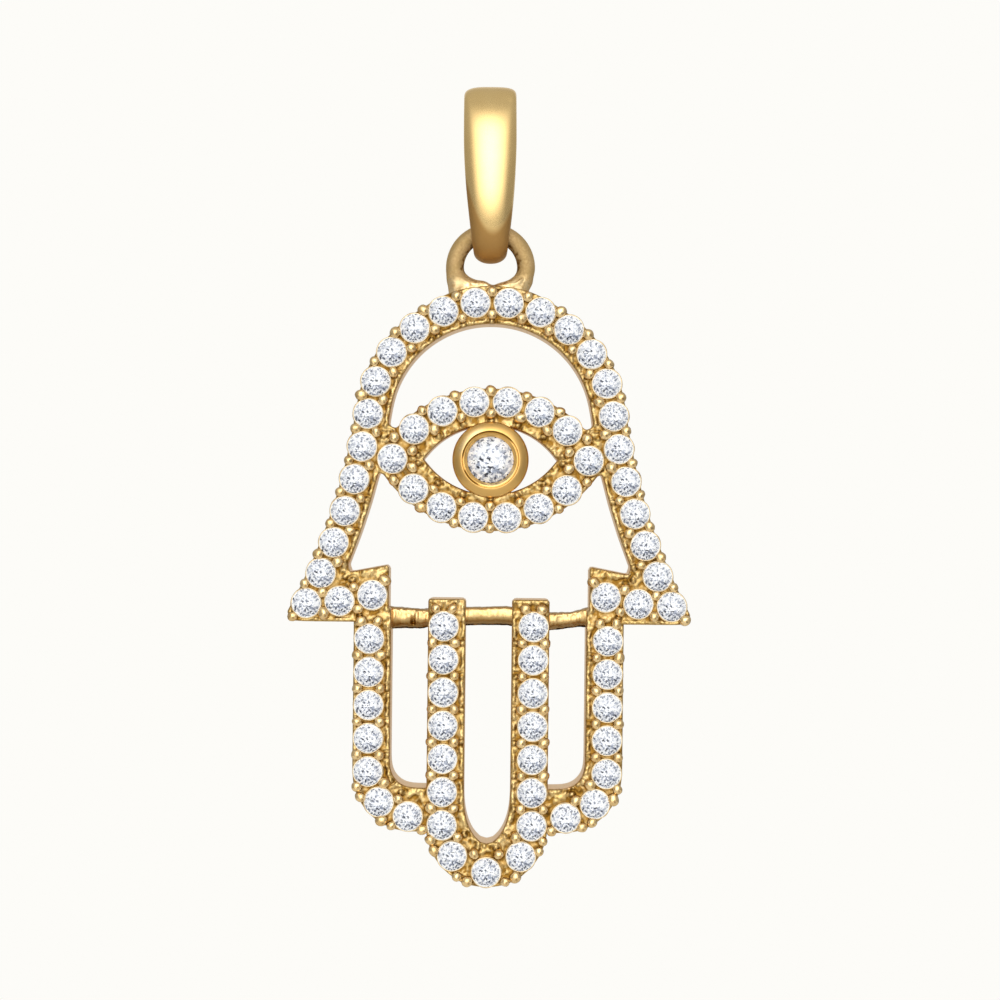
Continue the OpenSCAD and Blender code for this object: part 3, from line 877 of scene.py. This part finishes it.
# Upper edge of the metal between the loop's feet, as x and z
FEET_TOP = ((-1.5, -6), (-1.2, -6), (-0.98, -6.02), (-0.84, -6.07), (-0.7, -6.13), (-0.52, -6.19),
            (-0.27, -6.2), (-0.08, -6.3), (0.07, -6.36), (0.28, -6.27), (0.52, -6.19), (0.72, -6.12),
            (0.9, -6.05), (1.05, -6.02), (1.2, -6.05))


def loop_distance(points, ring):
    """Distance outside the ring and the metal between its feet, run together."""
    around, wire, middle = ring
    x, y, z = points.T
    to_ring = np.hypot(np.hypot(x - LOOP_X, z - middle) - around, y) - wire
    top = np.interp(x, *np.array(FEET_TOP).T)
    flat = np.maximum(np.maximum(-1.45 - x, x - 1.15), np.maximum(z - top, -6.95 - z)) + 0.18
    ahead = 0.33 + 0.26 * (1 - smooth(-6.35, -5.85, z)) + 0.2 * (1 - smooth(-6.85, -6.6, z))
    ahead -= 0.22 * smooth(0.7, 1.4, np.abs(x + 0.15))
    deep = np.maximum(-ahead - y, y - 0.35) + 0.28
    outside = np.hypot(np.maximum(flat, 0) * 1.3, np.maximum(deep, 0))
    to_feet = outside + np.minimum(np.maximum(flat, deep), 0) - 0.24
    near = np.maximum(0.5 - np.abs(to_ring - to_feet), 0)
    return np.minimum(to_ring, to_feet) - near * near / 2 + 0.03 * smooth(0, 0.4, near)


class PENDANT_OT_loop(bpy.types.Operator):
    """Loop at the top of the hand, melted into the arch at its two feet"""

    bl_idname = "pendant.loop"
    bl_label = "Loop"

    def execute(self, context):
        size = sizes_of(context)
        around = (size["loop_bore"] + size["loop_wire"]) / 2
        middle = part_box("hand_frame")[1].z / MM - around - size["loop_wire"] / 2 + 0.03
        wire, around = 0.54 * size["loop_wire"], around + 0.02
        rings, sides = 96, 28
        points = [(LOOP_X + (around + wire * u) * c, wire * v, middle + (around + wire * u) * s)
                  for c, s in circle(rings) for u, v in circle(sides)]
        faces = ring_faces(rings, sides, closed_rows=True)
        # A block between the feet, its front and back points in turn
        start = len(points)
        border = [*FEET_TOP, (1.2, -6.95), (-1.5, -6.95)]
        points += [(x, y, z) for x, z in border for y in (-0.75, 0.45)]
        n = len(border)
        faces += [tuple(start + 2 * i for i in range(n)), tuple(start + 2 * i + 1 for i in reversed(range(n)))]
        faces += [(start + 2 * i + 1, start + 2 * i + 3, start + 2 * i + 2, start + 2 * i) for i in range(n - 1)]
        faces.append((start + 2 * n - 1, start + 1, start, start + 2 * n - 2))
        points, faces = remeshed(points, faces, 0.036)
        ring = around, wire, middle
        low = 1 - smooth(-6.1, -5.7, points[:, 2])
        rough = 0.05 * low * grain(points, 0.2, 5)
        tiny = 0.002
        for _ in range(6):
            here = loop_distance(points, ring) + rough
            slope = np.column_stack([loop_distance(points + step, ring) + rough - here
                                     for step in tiny * np.eye(3)]) / tiny
            points -= (here / np.maximum((slope ** 2).sum(1), 0.3))[:, None] * slope
        ease(points, faces, low[:, None], 24)
        points += (-0.025, 0, 0.05)
        loop = make_piece("loop", points, faces, "loop_gold")
        away = (around - np.hypot(points[:, 0] - LOOP_X, points[:, 2] - middle)) / wire
        wear_and_sheen = grain(points, 0.1, 7)
        # Painted shade on the wire's inner side, at random over the feet, and under the dip between them
        inner = smooth(0.5, 1, away + 0.5 * wear_and_sheen) * (1 - low)
        dip = hump(0.1, 0.25, points[:, 0]) * hump(-6.45, 0.12, points[:, 2])
        set_tone(loop, "crevice_shade", inner + 0.4 * low * wear_and_sheen + dip)
        # Painted highlight: paler, glossier gold on the fronts of the feet
        glint = smooth(5.85, 6.3, -points[:, 2]) * smooth(0.1, 0.3, -points[:, 1]) * (0.75 + wear_and_sheen)
        set_tone(loop, "wear_and_sheen", glint)
        return {"FINISHED"}


# Crossbar

# From left to right: x, upper edge and lower edge
BAR = ((-3.5, -17.5, -18.3), (-3.11, -17.53, -18.27), (-2.29, -17.59, -18.27), (-2, -17.56, -18.2),
       (-0.7, -17.5, -18.15), (-0.22, -17.49, -18.13), (0.61, -17.46, -18.13), (2, -17.66, -18.32),
       (2.27, -17.66, -18.28), (2.82, -17.65, -18.2), (3.09, -17.58, -18.17), (3.5, -17.45, -18.17))
# Width of the crossbar that has those edges
DRAWN_BAR = 0.7


class PENDANT_OT_crossbar(bpy.types.Operator):
    """Crossbar in three lengths between the tops of the fingers, flat in front and bevelled below"""

    bl_idname = "pendant.crossbar"
    bl_label = "Crossbar"

    def execute(self, context):
        size = sizes_of(context)
        wide, deep, sides = size["bar_width"] / DRAWN_BAR, 0.33, 40
        points, tones, faces = [], [], []
        for left, right in ((-3.5, -1.8), (-1.1, 1.1), (1.8, 3.5)):
            start, rows = len(points), round(34 * (right - left))
            for x in np.linspace(left, right, rows):
                top, foot = (np.interp(x, [row[0] for row in BAR], [row[k] for row in BAR]) for k in (1, 2))
                middle, half = (top + foot) / 2, (top - foot) / 2 * wide
                even = 0.4 if abs(x) < 0.9 else 1
                for c, s in circle(sides):
                    y, z = (math.copysign(abs(v) ** 0.55, v) for v in (-c, s))
                    spot = Vector((x, deep * y, half * z))
                    rough = even * (0.13 * noise.noise(spot / 0.2) + 0.1 * noise.noise(spot / 0.09))
                    bevel = 0.35 * max(0, -0.2 - z) if y < 0 else 0
                    mark = math.hypot((x + 2.62) * (1 if x < -2.62 else 1.5), spot.z + 0.1) / 0.1
                    pit = 0.3 * math.exp(-mark ** 4) if y < -0.5 else 0
                    points.append((x, deep * y * (1 + rough) + bevel + pit,
                                   middle + half * z * (1 + 0.4 * rough)))
                    # Painted shade under the bar, along its upper edge and in the pit
                    under = smooth(0.25, 0.42, -z) * (y < 0.5)
                    tones.append(0.85 * under + 0.7 * smooth(0.8, 1, z) + 3 * pit)
            faces += ring_faces(rows, sides, start=start)
            last = len(points) - sides
            faces += [tuple(start + j for j in reversed(range(sides))), tuple(last + j for j in range(sides))]
        bar = make_piece("crossbar", points, [f[::-1] for f in faces], "bar_gold")
        set_tone(bar, "crevice_shade", tones)
        return {"FINISHED"}


# Bezel

# Front of the bezel from its outer edge inward: radius, and height above the plate
BEZEL_FRONT = ((1.316, 0.105), (1.307, 0.145), (1.288, 0.18), (1.25, 0.218), (1.2, 0.255), (1.15, 0.286),
               (1.1, 0.312), (1.05, 0.334), (1.01, 0.348), (0.995, 0.35), (0.985, 0.342), (0.975, 0.3),
               (0.965, 0.27), (0.95, 0.262), (0.935, 0.27), (0.925, 0.276), (0.88, 0.238), (0.82, 0.18),
               (0.803, 0.161), (0.799, 0.14), (0.802, 0.1), (0.86, 0.02), (0.5, -0.5))


def lathe(profile, centre, sides):
    """A ring turned about the front-to-back line through centre."""
    points = [(centre[0] + radius * c, -rise, centre[1] + radius * s)
              for radius, rise in profile for c, s in circle(sides)]
    return points, ring_faces(len(profile), sides, closed_rows=True)


class PENDANT_OT_bezel(bpy.types.Operator):
    """Rounded bezel with a groove and a sloping inner face"""

    bl_idname = "pendant.bezel"
    bl_label = "Bezel"

    def execute(self, context):
        front, sides = sizes_of(context)["plate_front"], 160
        profile = [(0.5, -0.7), (1.27, -0.7), (1.31, -0.66), (1.315, 0), (1.318, front + 0.06)]
        profile += [(radius, front + rise) for radius, rise in BEZEL_FRONT]
        points, faces = lathe(profile, eye_centre(), sides)
        bezel = make_piece("bezel", points, faces, "bezel_gold")
        radius = np.repeat([row[0] for row in profile], sides)
        angle = np.tile(2 * math.pi * np.arange(sides) / sides, len(profile))
        rise = -np.array(points)[:, 1] - front
        # Painted shade: a dark line in the groove over the top and at the upper and lower left
        groove = smooth(0.6, 0.9, np.cos(angle - 1.5)) + 0.6 * smooth(0.85, 0.97, np.cos(angle - 2.6))
        groove += 0.7 * smooth(0.9, 0.98, np.cos(angle - 3.9))
        set_tone(bezel, "crevice_shade", 2.5 * hump(0.957, 0.03, radius) * groove * (rise > 0.2))
        # Painted highlight on the inner bevel at the lower right and on the crest at the upper left
        bevel = hump(0.86, 0.045, radius) * smooth(0.6, 0.9, np.cos(angle + 1.1)) * (rise > 0.15)
        crest = 0.8 * hump(1.07, 0.08, radius) * smooth(0.75, 0.98, np.cos(angle - 2.4))
        set_tone(bezel, "wear_and_sheen", bevel + crest)
        return {"FINISHED"}


# Bail

# The bail hangs a little to the left, and leans to the side about a point in the loop
BAIL_X, BAIL_PIVOT = -0.085, -5.2
BAIL_LEAN = math.radians(0.6)


class PENDANT_OT_bail(bpy.types.Operator):
    """Oval bail with a domed band that narrows into the loop"""

    bl_idname = "pendant.bail"
    bl_label = "Bail"

    def execute(self, context):
        size = sizes_of(context)
        low, high = (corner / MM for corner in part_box("bail"))
        depth, tall = high.y - low.y, high.z - low.z
        top, foot = size["bail_top_band"], size["bail_foot_band"]
        in_tall = tall - top - foot
        rings, dome = 180, 44
        points = []
        for c, s in circle(rings):
            inner = Vector(((depth / 2 - top) * s, -in_tall / 2 - in_tall / 2 * c))
            outer = Vector((depth / 2 * s, top - tall / 2 - tall / 2 * c))
            rise = min(1, max(0, (inner.y - (top - tall) - foot / 2) / size["bail_taper"]))
            grow = math.sin(math.pi / 2 * rise)
            half = (size["bail_foot"] + (size["bail_width"] - size["bail_foot"]) * grow) / 2
            crown = float(smooth(-0.5, -0.05, inner.y))
            section = []
            for i in range(dome + 1):
                across, up = math.cos(math.pi * i / dome), math.sin(math.pi * i / dome)
                power = 2 / (2.15 + (1.6 if across > 0 else 0.8) * crown)
                section.append((math.copysign(abs(across) ** power, across), 0.14 + 0.86 * up ** power))
            section += [(-0.97, 0.05), (-0.9, 0), (-0.45, 0), (0.45, 0), (0.9, 0), (0.97, 0.05)]
            for u, v in section:
                y, z = inner + v * (outer - inner)
                points.append((u * half, y, z + 0.07 + 0.1 * float(smooth(-4.6, 0.4, z))))
        faces = ring_faces(rings, len(section), closed_rows=True)
        points = [(x + BAIL_X - (z - BAIL_PIVOT) * math.sin(BAIL_LEAN), y, z) for x, y, z in points]
        bail = make_piece("bail_band", points, faces, "buffed_gold", "bail")
        x, y, z = np.array(points).T
        # Painted shade: deeper gold, also rougher, towards the foot
        set_tone(bail, "foot", smooth(0, 0.35, 2 * x * x - z - 4.35))
        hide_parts("bail")
        return {"FINISHED"}


# Stones

# Height of the crown and radius of the table, as shares of a stone's radius
CROWN, TABLE = 0.32, 0.55
# Rings of points on table and crown: share of the radius, and number of points
RINGS = ((0.09, 8), (0.18, 16), (0.27, 16), (0.36, 32), (0.45, 32), (0.54, 32), (0.63, 64), (0.72, 64),
         (0.81, 64), (0.89, 64), (0.965, 64), (1, 64))
# Painted dark reflections seen in each stone, by its radius: x, z, lean in degrees, half length, half width, depth
MARKS = (
    (0, 0.11, -50, 0.075, 0.04, 0.9), (-0.31, 0.1, -25, 0.1, 0.04, 0.9), (-0.23, 0.28, -20, 0.07, 0.035, 0.45),
    (-0.05, 0.47, 85, 0.09, 0.035, 0.5), (-0.43, 0.79, -40, 0.07, 0.03, 0.7), (-0.7, 0.5, 40, 0.1, 0.04, 0.4),
    (-0.94, 0.24, -60, 0.08, 0.04, 0.8), (-0.86, 0.05, 70, 0.1, 0.05, 0.35), (-0.43, -0.1, -20, 0.06, 0.035, 0.6),
    (-0.43, -0.24, -10, 0.08, 0.03, 0.9), (-0.2, -0.24, 0, 0.06, 0.03, 0.6), (0.1, -0.24, -5, 0.15, 0.025, 0.85),
    (-0.78, -0.33, 70, 0.12, 0.05, 0.7), (-0.82, -0.52, 65, 0.09, 0.04, 0.9), (-0.57, -0.5, -45, 0.1, 0.045, 0.75),
    (-0.3, -0.42, 60, 0.08, 0.04, 0.5), (-0.11, -0.52, 60, 0.11, 0.04, 0.9), (0.05, -0.42, -50, 0.12, 0.035, 0.8),
    (0.3, -0.36, -15, 0.12, 0.06, 0.6), (0.5, -0.45, -35, 0.11, 0.045, 0.8), (0.68, -0.33, 30, 0.12, 0.05, 0.5),
    (0.3, -0.2, 20, 0.08, 0.04, 0.5), (-0.4, -0.75, 35, 0.07, 0.035, 0.9), (-0.23, -0.84, 20, 0.08, 0.03, 0.8),
    (-0.05, -0.87, -10, 0.07, 0.03, 0.9), (0.09, -0.72, 70, 0.07, 0.035, 0.7), (0.14, -0.86, 5, 0.06, 0.03, 0.8),
    (0.27, -0.64, 50, 0.09, 0.035, 0.9), (0.43, -0.75, 35, 0.08, 0.035, 0.8), (0.62, -0.62, 50, 0.07, 0.035, 0.6),
    (0.66, 0.19, 60, 0.09, 0.035, 0.6), (0.86, -0.04, 80, 0.1, 0.04, 0.35), (0.6, 0.39, 50, 0.09, 0.04, 0.5),
    (0.34, 0.59, 60, 0.08, 0.03, 0.75), (0.49, 0.41, 30, 0.08, 0.04, 0.4), (-0.29, 0.85, 20, 0.06, 0.03, 0.7),
    (0.11, 0.88, -10, 0.07, 0.03, 0.7), (-0.05, 0.7, 80, 0.07, 0.03, 0.5), (0.78, 0.5, 60, 0.07, 0.03, 0.5),
    (0.35, 0.15, -30, 0.1, 0.04, 0.25), (-0.62, 0.2, 10, 0.12, 0.05, 0.25),
)


def zip_rings(inner, outer):
    """Triangles between two rings, where the outer has as many points or twice as many."""
    faces = []
    n, m = len(inner), len(outer)
    for i in range(n):
        a, b = inner[i], inner[(i + 1) % n]
        if m == 2 * n:
            c, d, e = outer[2 * i], outer[2 * i + 1], outer[(2 * i + 2) % m]
            faces += [(a, c, d), (a, d, b), (b, d, e)]
        else:
            c, d = outer[i], outer[(i + 1) % m]
            faces += [(a, c, d), (a, d, b)] if i % 2 else [(a, c, b), (b, c, d)]
    return faces


def cut_stone(radius, dice):
    """Points of one brilliant round its own centre, its facets, and where each facet lies."""
    points = [(0.0, -CROWN, 0.0)]
    rings = []
    for share, count in RINGS:
        ring = []
        loose = 0.012 if share < 0.96 else 0
        for i in range(count):
            angle = 2 * math.pi * (i + 0.5 * (len(rings) % 2)) / count
            reach = share + dice.uniform(-loose, loose)
            angle += dice.uniform(-loose, loose) * 2
            rise = CROWN * min(1, (1 - share) / (1 - TABLE))
            rise += dice.uniform(-0.004, 0.004) if loose else 0
            ring.append(len(points))
            points.append((reach * math.cos(angle), -rise, reach * math.sin(angle)))
        rings.append(ring)
    n = len(rings[0])
    faces = [(0, rings[0][i], rings[0][(i + 1) % n]) for i in range(n)]
    for inner, outer in zip(rings, rings[1:]):
        faces += zip_rings(inner, outer)
    top, n = len(faces), len(rings[-1])
    for reach, depth in ((1, 0.04), (0.42, 0.54)):
        ring = list(range(len(points), len(points) + n))
        points += [(reach * c, depth, reach * s) for c, s in circle(n, 0.5 * ((len(RINGS) - 1) % 2))]
        faces += zip_rings(rings[-1], ring)
        rings.append(ring)
    points.append((0, 0.9, 0))
    faces += [(rings[-1][(i + 1) % n], rings[-1][i], len(points) - 1) for i in range(n)]
    points = np.array(points)
    middles = np.array([points[list(f)].mean(0) for f in faces])
    return points * radius, faces, middles, top


def painted_facet_reflections(middles, top, colours, dice):
    """Painted reflections on a stone's facets: mostly bright, with the dark marks, dark specks and a pale blue
    veil thicker to the lower right, a brighter middle and a warmer, brighter rim.
    """
    bright, grey, dark = (np.array(c) for c in (colours.stone, colours.stone_grey, colours.stone_dark))
    count = len(middles)
    rolls = np.array([dice.random() for _ in range(5 * count)]).reshape(5, count)
    chance, cool, speck, light, green = rolls
    x, z = middles[:, 0], middles[:, 2]
    reach = np.hypot(x, z)
    aside, above = dice.uniform(-0.08, 0.08), dice.uniform(-0.12, 0.1)
    depth = np.zeros(count)
    for mark_x, mark_z, lean, tall, wide, dark_share in MARKS:
        lean = math.radians(lean + dice.uniform(-12, 12))
        dx, dz = x - mark_x - aside, z - mark_z - above
        along = (dx * math.cos(lean) + dz * math.sin(lean)) / (1.25 * tall)
        across = (dz * math.cos(lean) - dx * math.sin(lean)) / (1.55 * wide)
        depth = np.maximum(depth, dark_share * dice.uniform(0.95, 1.4) * np.exp(-along ** 4 - across ** 4))
    # Painted reflection: more of the pale blue veil to the lower right
    low_right = np.exp(-(((x - 0.35) / 0.4) ** 2) - (((z + 0.42) / 0.3) ** 2))
    veiled = chance < (0.18 + 0.22 * low_right) * (0.5 + 0.5 * smooth(0.25, 0.5, reach))
    veil = np.where(veiled, 0.15 + 0.45 * cool, 0.05 * cool)
    depth = np.maximum(depth, np.where(speck < 0.045, 0.9, veil))
    depth = np.clip(depth, 0, 1)[:, None]
    tone = np.where(depth < 0.5, bright + (grey - bright) * 2 * depth, grey + (dark - grey) * (2 * depth - 1))
    hue = np.column_stack([np.ones(count), 0.985 + 0.03 * green, 0.99 + 0.06 * cool])
    tone = tone * (0.9 + 0.2 * light)[:, None] * hue
    # Painted light: brighter in the middle, and a warmer, brighter rim
    rim = smooth(0.75, 0.92, reach)
    tone *= (1 + 0.04 * hump(0, 0.45, reach) - 0.03 * hump(0.5, 0.2, reach) + 0.05 * rim)[:, None]
    tone *= 1 - rim[:, None] * (0, 0.015, 0.05)
    tone = np.where((reach > 0.965)[:, None], bright * (1.03, 0.96, 0.84), tone)
    tone[top:] = bright
    return np.clip(tone, 0, 1)


def set_gems(name, places, girdle, width, colours, seed):
    """One piece with a cut stone at each place, as deep as the girdle is given."""
    dice = random.Random(seed)
    points, faces, tones = [], [], []
    total = 0
    for x, z in places:
        form, sides, middles, top = cut_stone(0.503 * width, dice)
        points.append(form + (x, girdle, z))
        faces += [tuple(total + k for k in f) for f in sides]
        total += len(form)
        tones.append(painted_facet_reflections(middles, top, colours, dice))
    gems = make_piece(name, np.vstack(points), faces, "stone_painted_reflections")
    gems.data.shade_flat()
    set_colours(gems, "facet", np.vstack(tones))
    return gems


class PENDANT_OT_gems(bpy.types.Operator):
    """Small round brilliants of the outline, the eye and the fingers"""

    bl_idname = "pendant.gems"
    bl_label = "Small stones"

    def execute(self, context):
        size, colours = sizes_of(context), context.scene.pendant_colours
        width = size["stone_width"]
        for seed, (node, name) in enumerate(FIELDS.items()):
            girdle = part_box(node)[0].y / MM + CROWN / 2 * width
            gems = set_gems(name, stone_places(node), girdle, width, colours, seed + 11)
            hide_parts(node)
        return {"FINISHED"}


class PENDANT_OT_centre_gem(bpy.types.Operator):
    """Larger brilliant in the bezel"""

    bl_idname = "pendant.centre_gem"
    bl_label = "Centre stone"

    def execute(self, context):
        size, colours = sizes_of(context), context.scene.pendant_colours
        width = size["centre_width"]
        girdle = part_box("centre_stone")[0].y / MM + CROWN / 2 * width
        gem = set_gems("centre_gem", [eye_centre()], girdle, width, colours, 23)
        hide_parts("centre_stone")
        return {"FINISHED"}


# Stage


def studio_light(colours):
    """World light: broad and soft from the front, dimmer to the sides and below."""
    world = bpy.data.worlds.new("studio")
    bpy.context.scene.world = world
    nodes = Nodes(world)
    place = nodes.add("TexCoord", {}).outputs["Generated"]
    way = nodes.add("SeparateXYZ", {"Vector": place}).outputs
    taper = nodes.scaled(way["Z"], -0.6, -0.3, 0.12, 0)
    reach = nodes.math("ADD", nodes.math("ABSOLUTE", way["X"]), taper)
    strip = nodes.scaled(reach, 0.7, 0, 0, 1)
    for axis, none, full, most in (("Y", 0.1, -0.2, 1), ("Z", -0.6, -0.05, 1), ("Z", 0.86, 0.62, 3.2)):
        strip = nodes.math("MULTIPLY", strip, nodes.scaled(way[axis], none, full, 0, most))
    total = nodes.math("ADD", strip, nodes.scaled(way["Z"], -1, 1, 0.22, 0.55))
    total = nodes.math("ADD", total, nodes.scaled(way["Y"], 0.6, 0.85, 0, 0.3))
    shade = nodes.feed(nodes.tree.nodes["Background"], {"Color": (1, 0.985, 0.96), "Strength": total})
    plain = nodes.add("Background", {"Color": colours.backdrop})
    seen = nodes.add("LightPath", {}).outputs["Is Camera Ray"]
    mix = nodes.add("MixShader", {"Fac": seen, 1: shade.outputs["Background"], 2: plain.outputs["Background"]})
    nodes.feed(nodes.tree.nodes["World Output"], {"Surface": mix.outputs["Shader"]})


def lay_floor():
    """A round plain floor well below the pendant."""
    radius, level = 58, -45
    edge = [Vector((radius * c, radius * s, level)) * MM for c, s in circle(96)]
    floor = new_object("floor", edge, [tuple(range(len(edge)))])
    floor.data.materials.append(bpy.data.materials["pale_floor"])


def set_camera(scene, away):
    """A camera straight before the hand, with the photo's scale and its lean."""
    camera = bpy.data.cameras.new("camera")
    camera.sensor_width = SENSOR
    camera.lens = SENSOR * away / (PHOTO_PIXELS / PIXELS_PER_MM)
    camera.clip_start, camera.clip_end = MM, 10
    camera.dof.use_dof = False
    seat = bpy.data.objects.new("camera", camera)
    c, s = math.cos(PHOTO_LEAN), math.sin(PHOTO_LEAN)
    x, y, z = VIEW_MIDDLE
    turn = Matrix(((c, -s, 0), (0, 0, -1), (s, c, 0)))
    seat.matrix_world = Matrix.Translation(Vector((x, y - away, z)) * MM) @ turn.to_4x4()
    scene.collection.objects.link(seat)
    scene.camera = seat


class PENDANT_OT_stage(bpy.types.Operator):
    """Plain pale floor, soft studio light, the camera and the materials"""

    bl_idname = "pendant.stage"
    bl_label = "Stage"

    def execute(self, context):
        scene = context.scene
        colours = scene.pendant_colours
        cast_gold("hammered_gold", colours.cast, colours.cast_pale, colours, 0.46, 0.01, 0.75)
        cast_gold("back_gold", colours.cast_pale, colours.bead_deep, colours, 0.4, 0.003)
        cast_gold("bar_gold", colours.cast_pale, colours.bead_deep, colours, 0.4, 0.004, 0.35)
        cast_gold("bezel_gold", colours.bezel, colours.bezel, colours, 0.4, 0.0004)
        cast_gold("bead_gold", colours.bead_deep, colours.bead, colours, 0.31, 0.002)
        # The collars' paler gold is their painted highlight
        cast_gold("collar_gold", colours.bead, colours.collar_highlight, colours, 0.5, 0.001)
        cast_gold("loop_gold", colours.loop, colours.loop_pale, colours, 0.85, 0.002)
        polished_gold(colours)
        white_stone()
        pale_floor(colours)
        studio_light(colours)
        scene.view_settings.view_transform = "Standard"
        lay_floor()
        set_camera(scene, sizes_of(context)["camera_away"])
        return {"FINISHED"}


class PENDANT_PT_panel(bpy.types.Panel):
    """Buttons for the pieces, with their sizes and colours"""

    bl_label = "Hamsa pendant"
    bl_idname = "PENDANT_PT_panel"
    bl_space_type = "VIEW_3D"
    bl_region_type = "UI"
    bl_category = "Pendant"

    def draw(self, context):
        layout = self.layout
        for operator in OPERATORS:
            layout.operator(operator.bl_idname)
        for group in (context.scene.pendant_sizes, context.scene.pendant_colours):
            box = layout.box()
            for name in type(group).__annotations__:
                box.prop(group, name)


OPERATORS = (PENDANT_OT_stage, PENDANT_OT_frame, PENDANT_OT_beads, PENDANT_OT_collars, PENDANT_OT_loop,
             PENDANT_OT_crossbar, PENDANT_OT_bezel, PENDANT_OT_bail, PENDANT_OT_gems, PENDANT_OT_centre_gem)
CLASSES = (PendantSizes, PendantColours, *OPERATORS, PENDANT_PT_panel)


def register():
    for each in CLASSES:
        bpy.utils.register_class(each)
    bpy.types.Scene.pendant_sizes = bpy.props.PointerProperty(type=PendantSizes)
    bpy.types.Scene.pendant_colours = bpy.props.PointerProperty(type=PendantColours)


def unregister():
    del bpy.types.Scene.pendant_colours
    del bpy.types.Scene.pendant_sizes
    for each in reversed(CLASSES):
        bpy.utils.unregister_class(each)


def main():
    """Registers the add-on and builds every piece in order."""
    register()
    for operator in OPERATORS:
        group, name = operator.bl_idname.split(".")
        getattr(getattr(bpy.ops, group), name)()


if __name__ == "__main__":
    main()
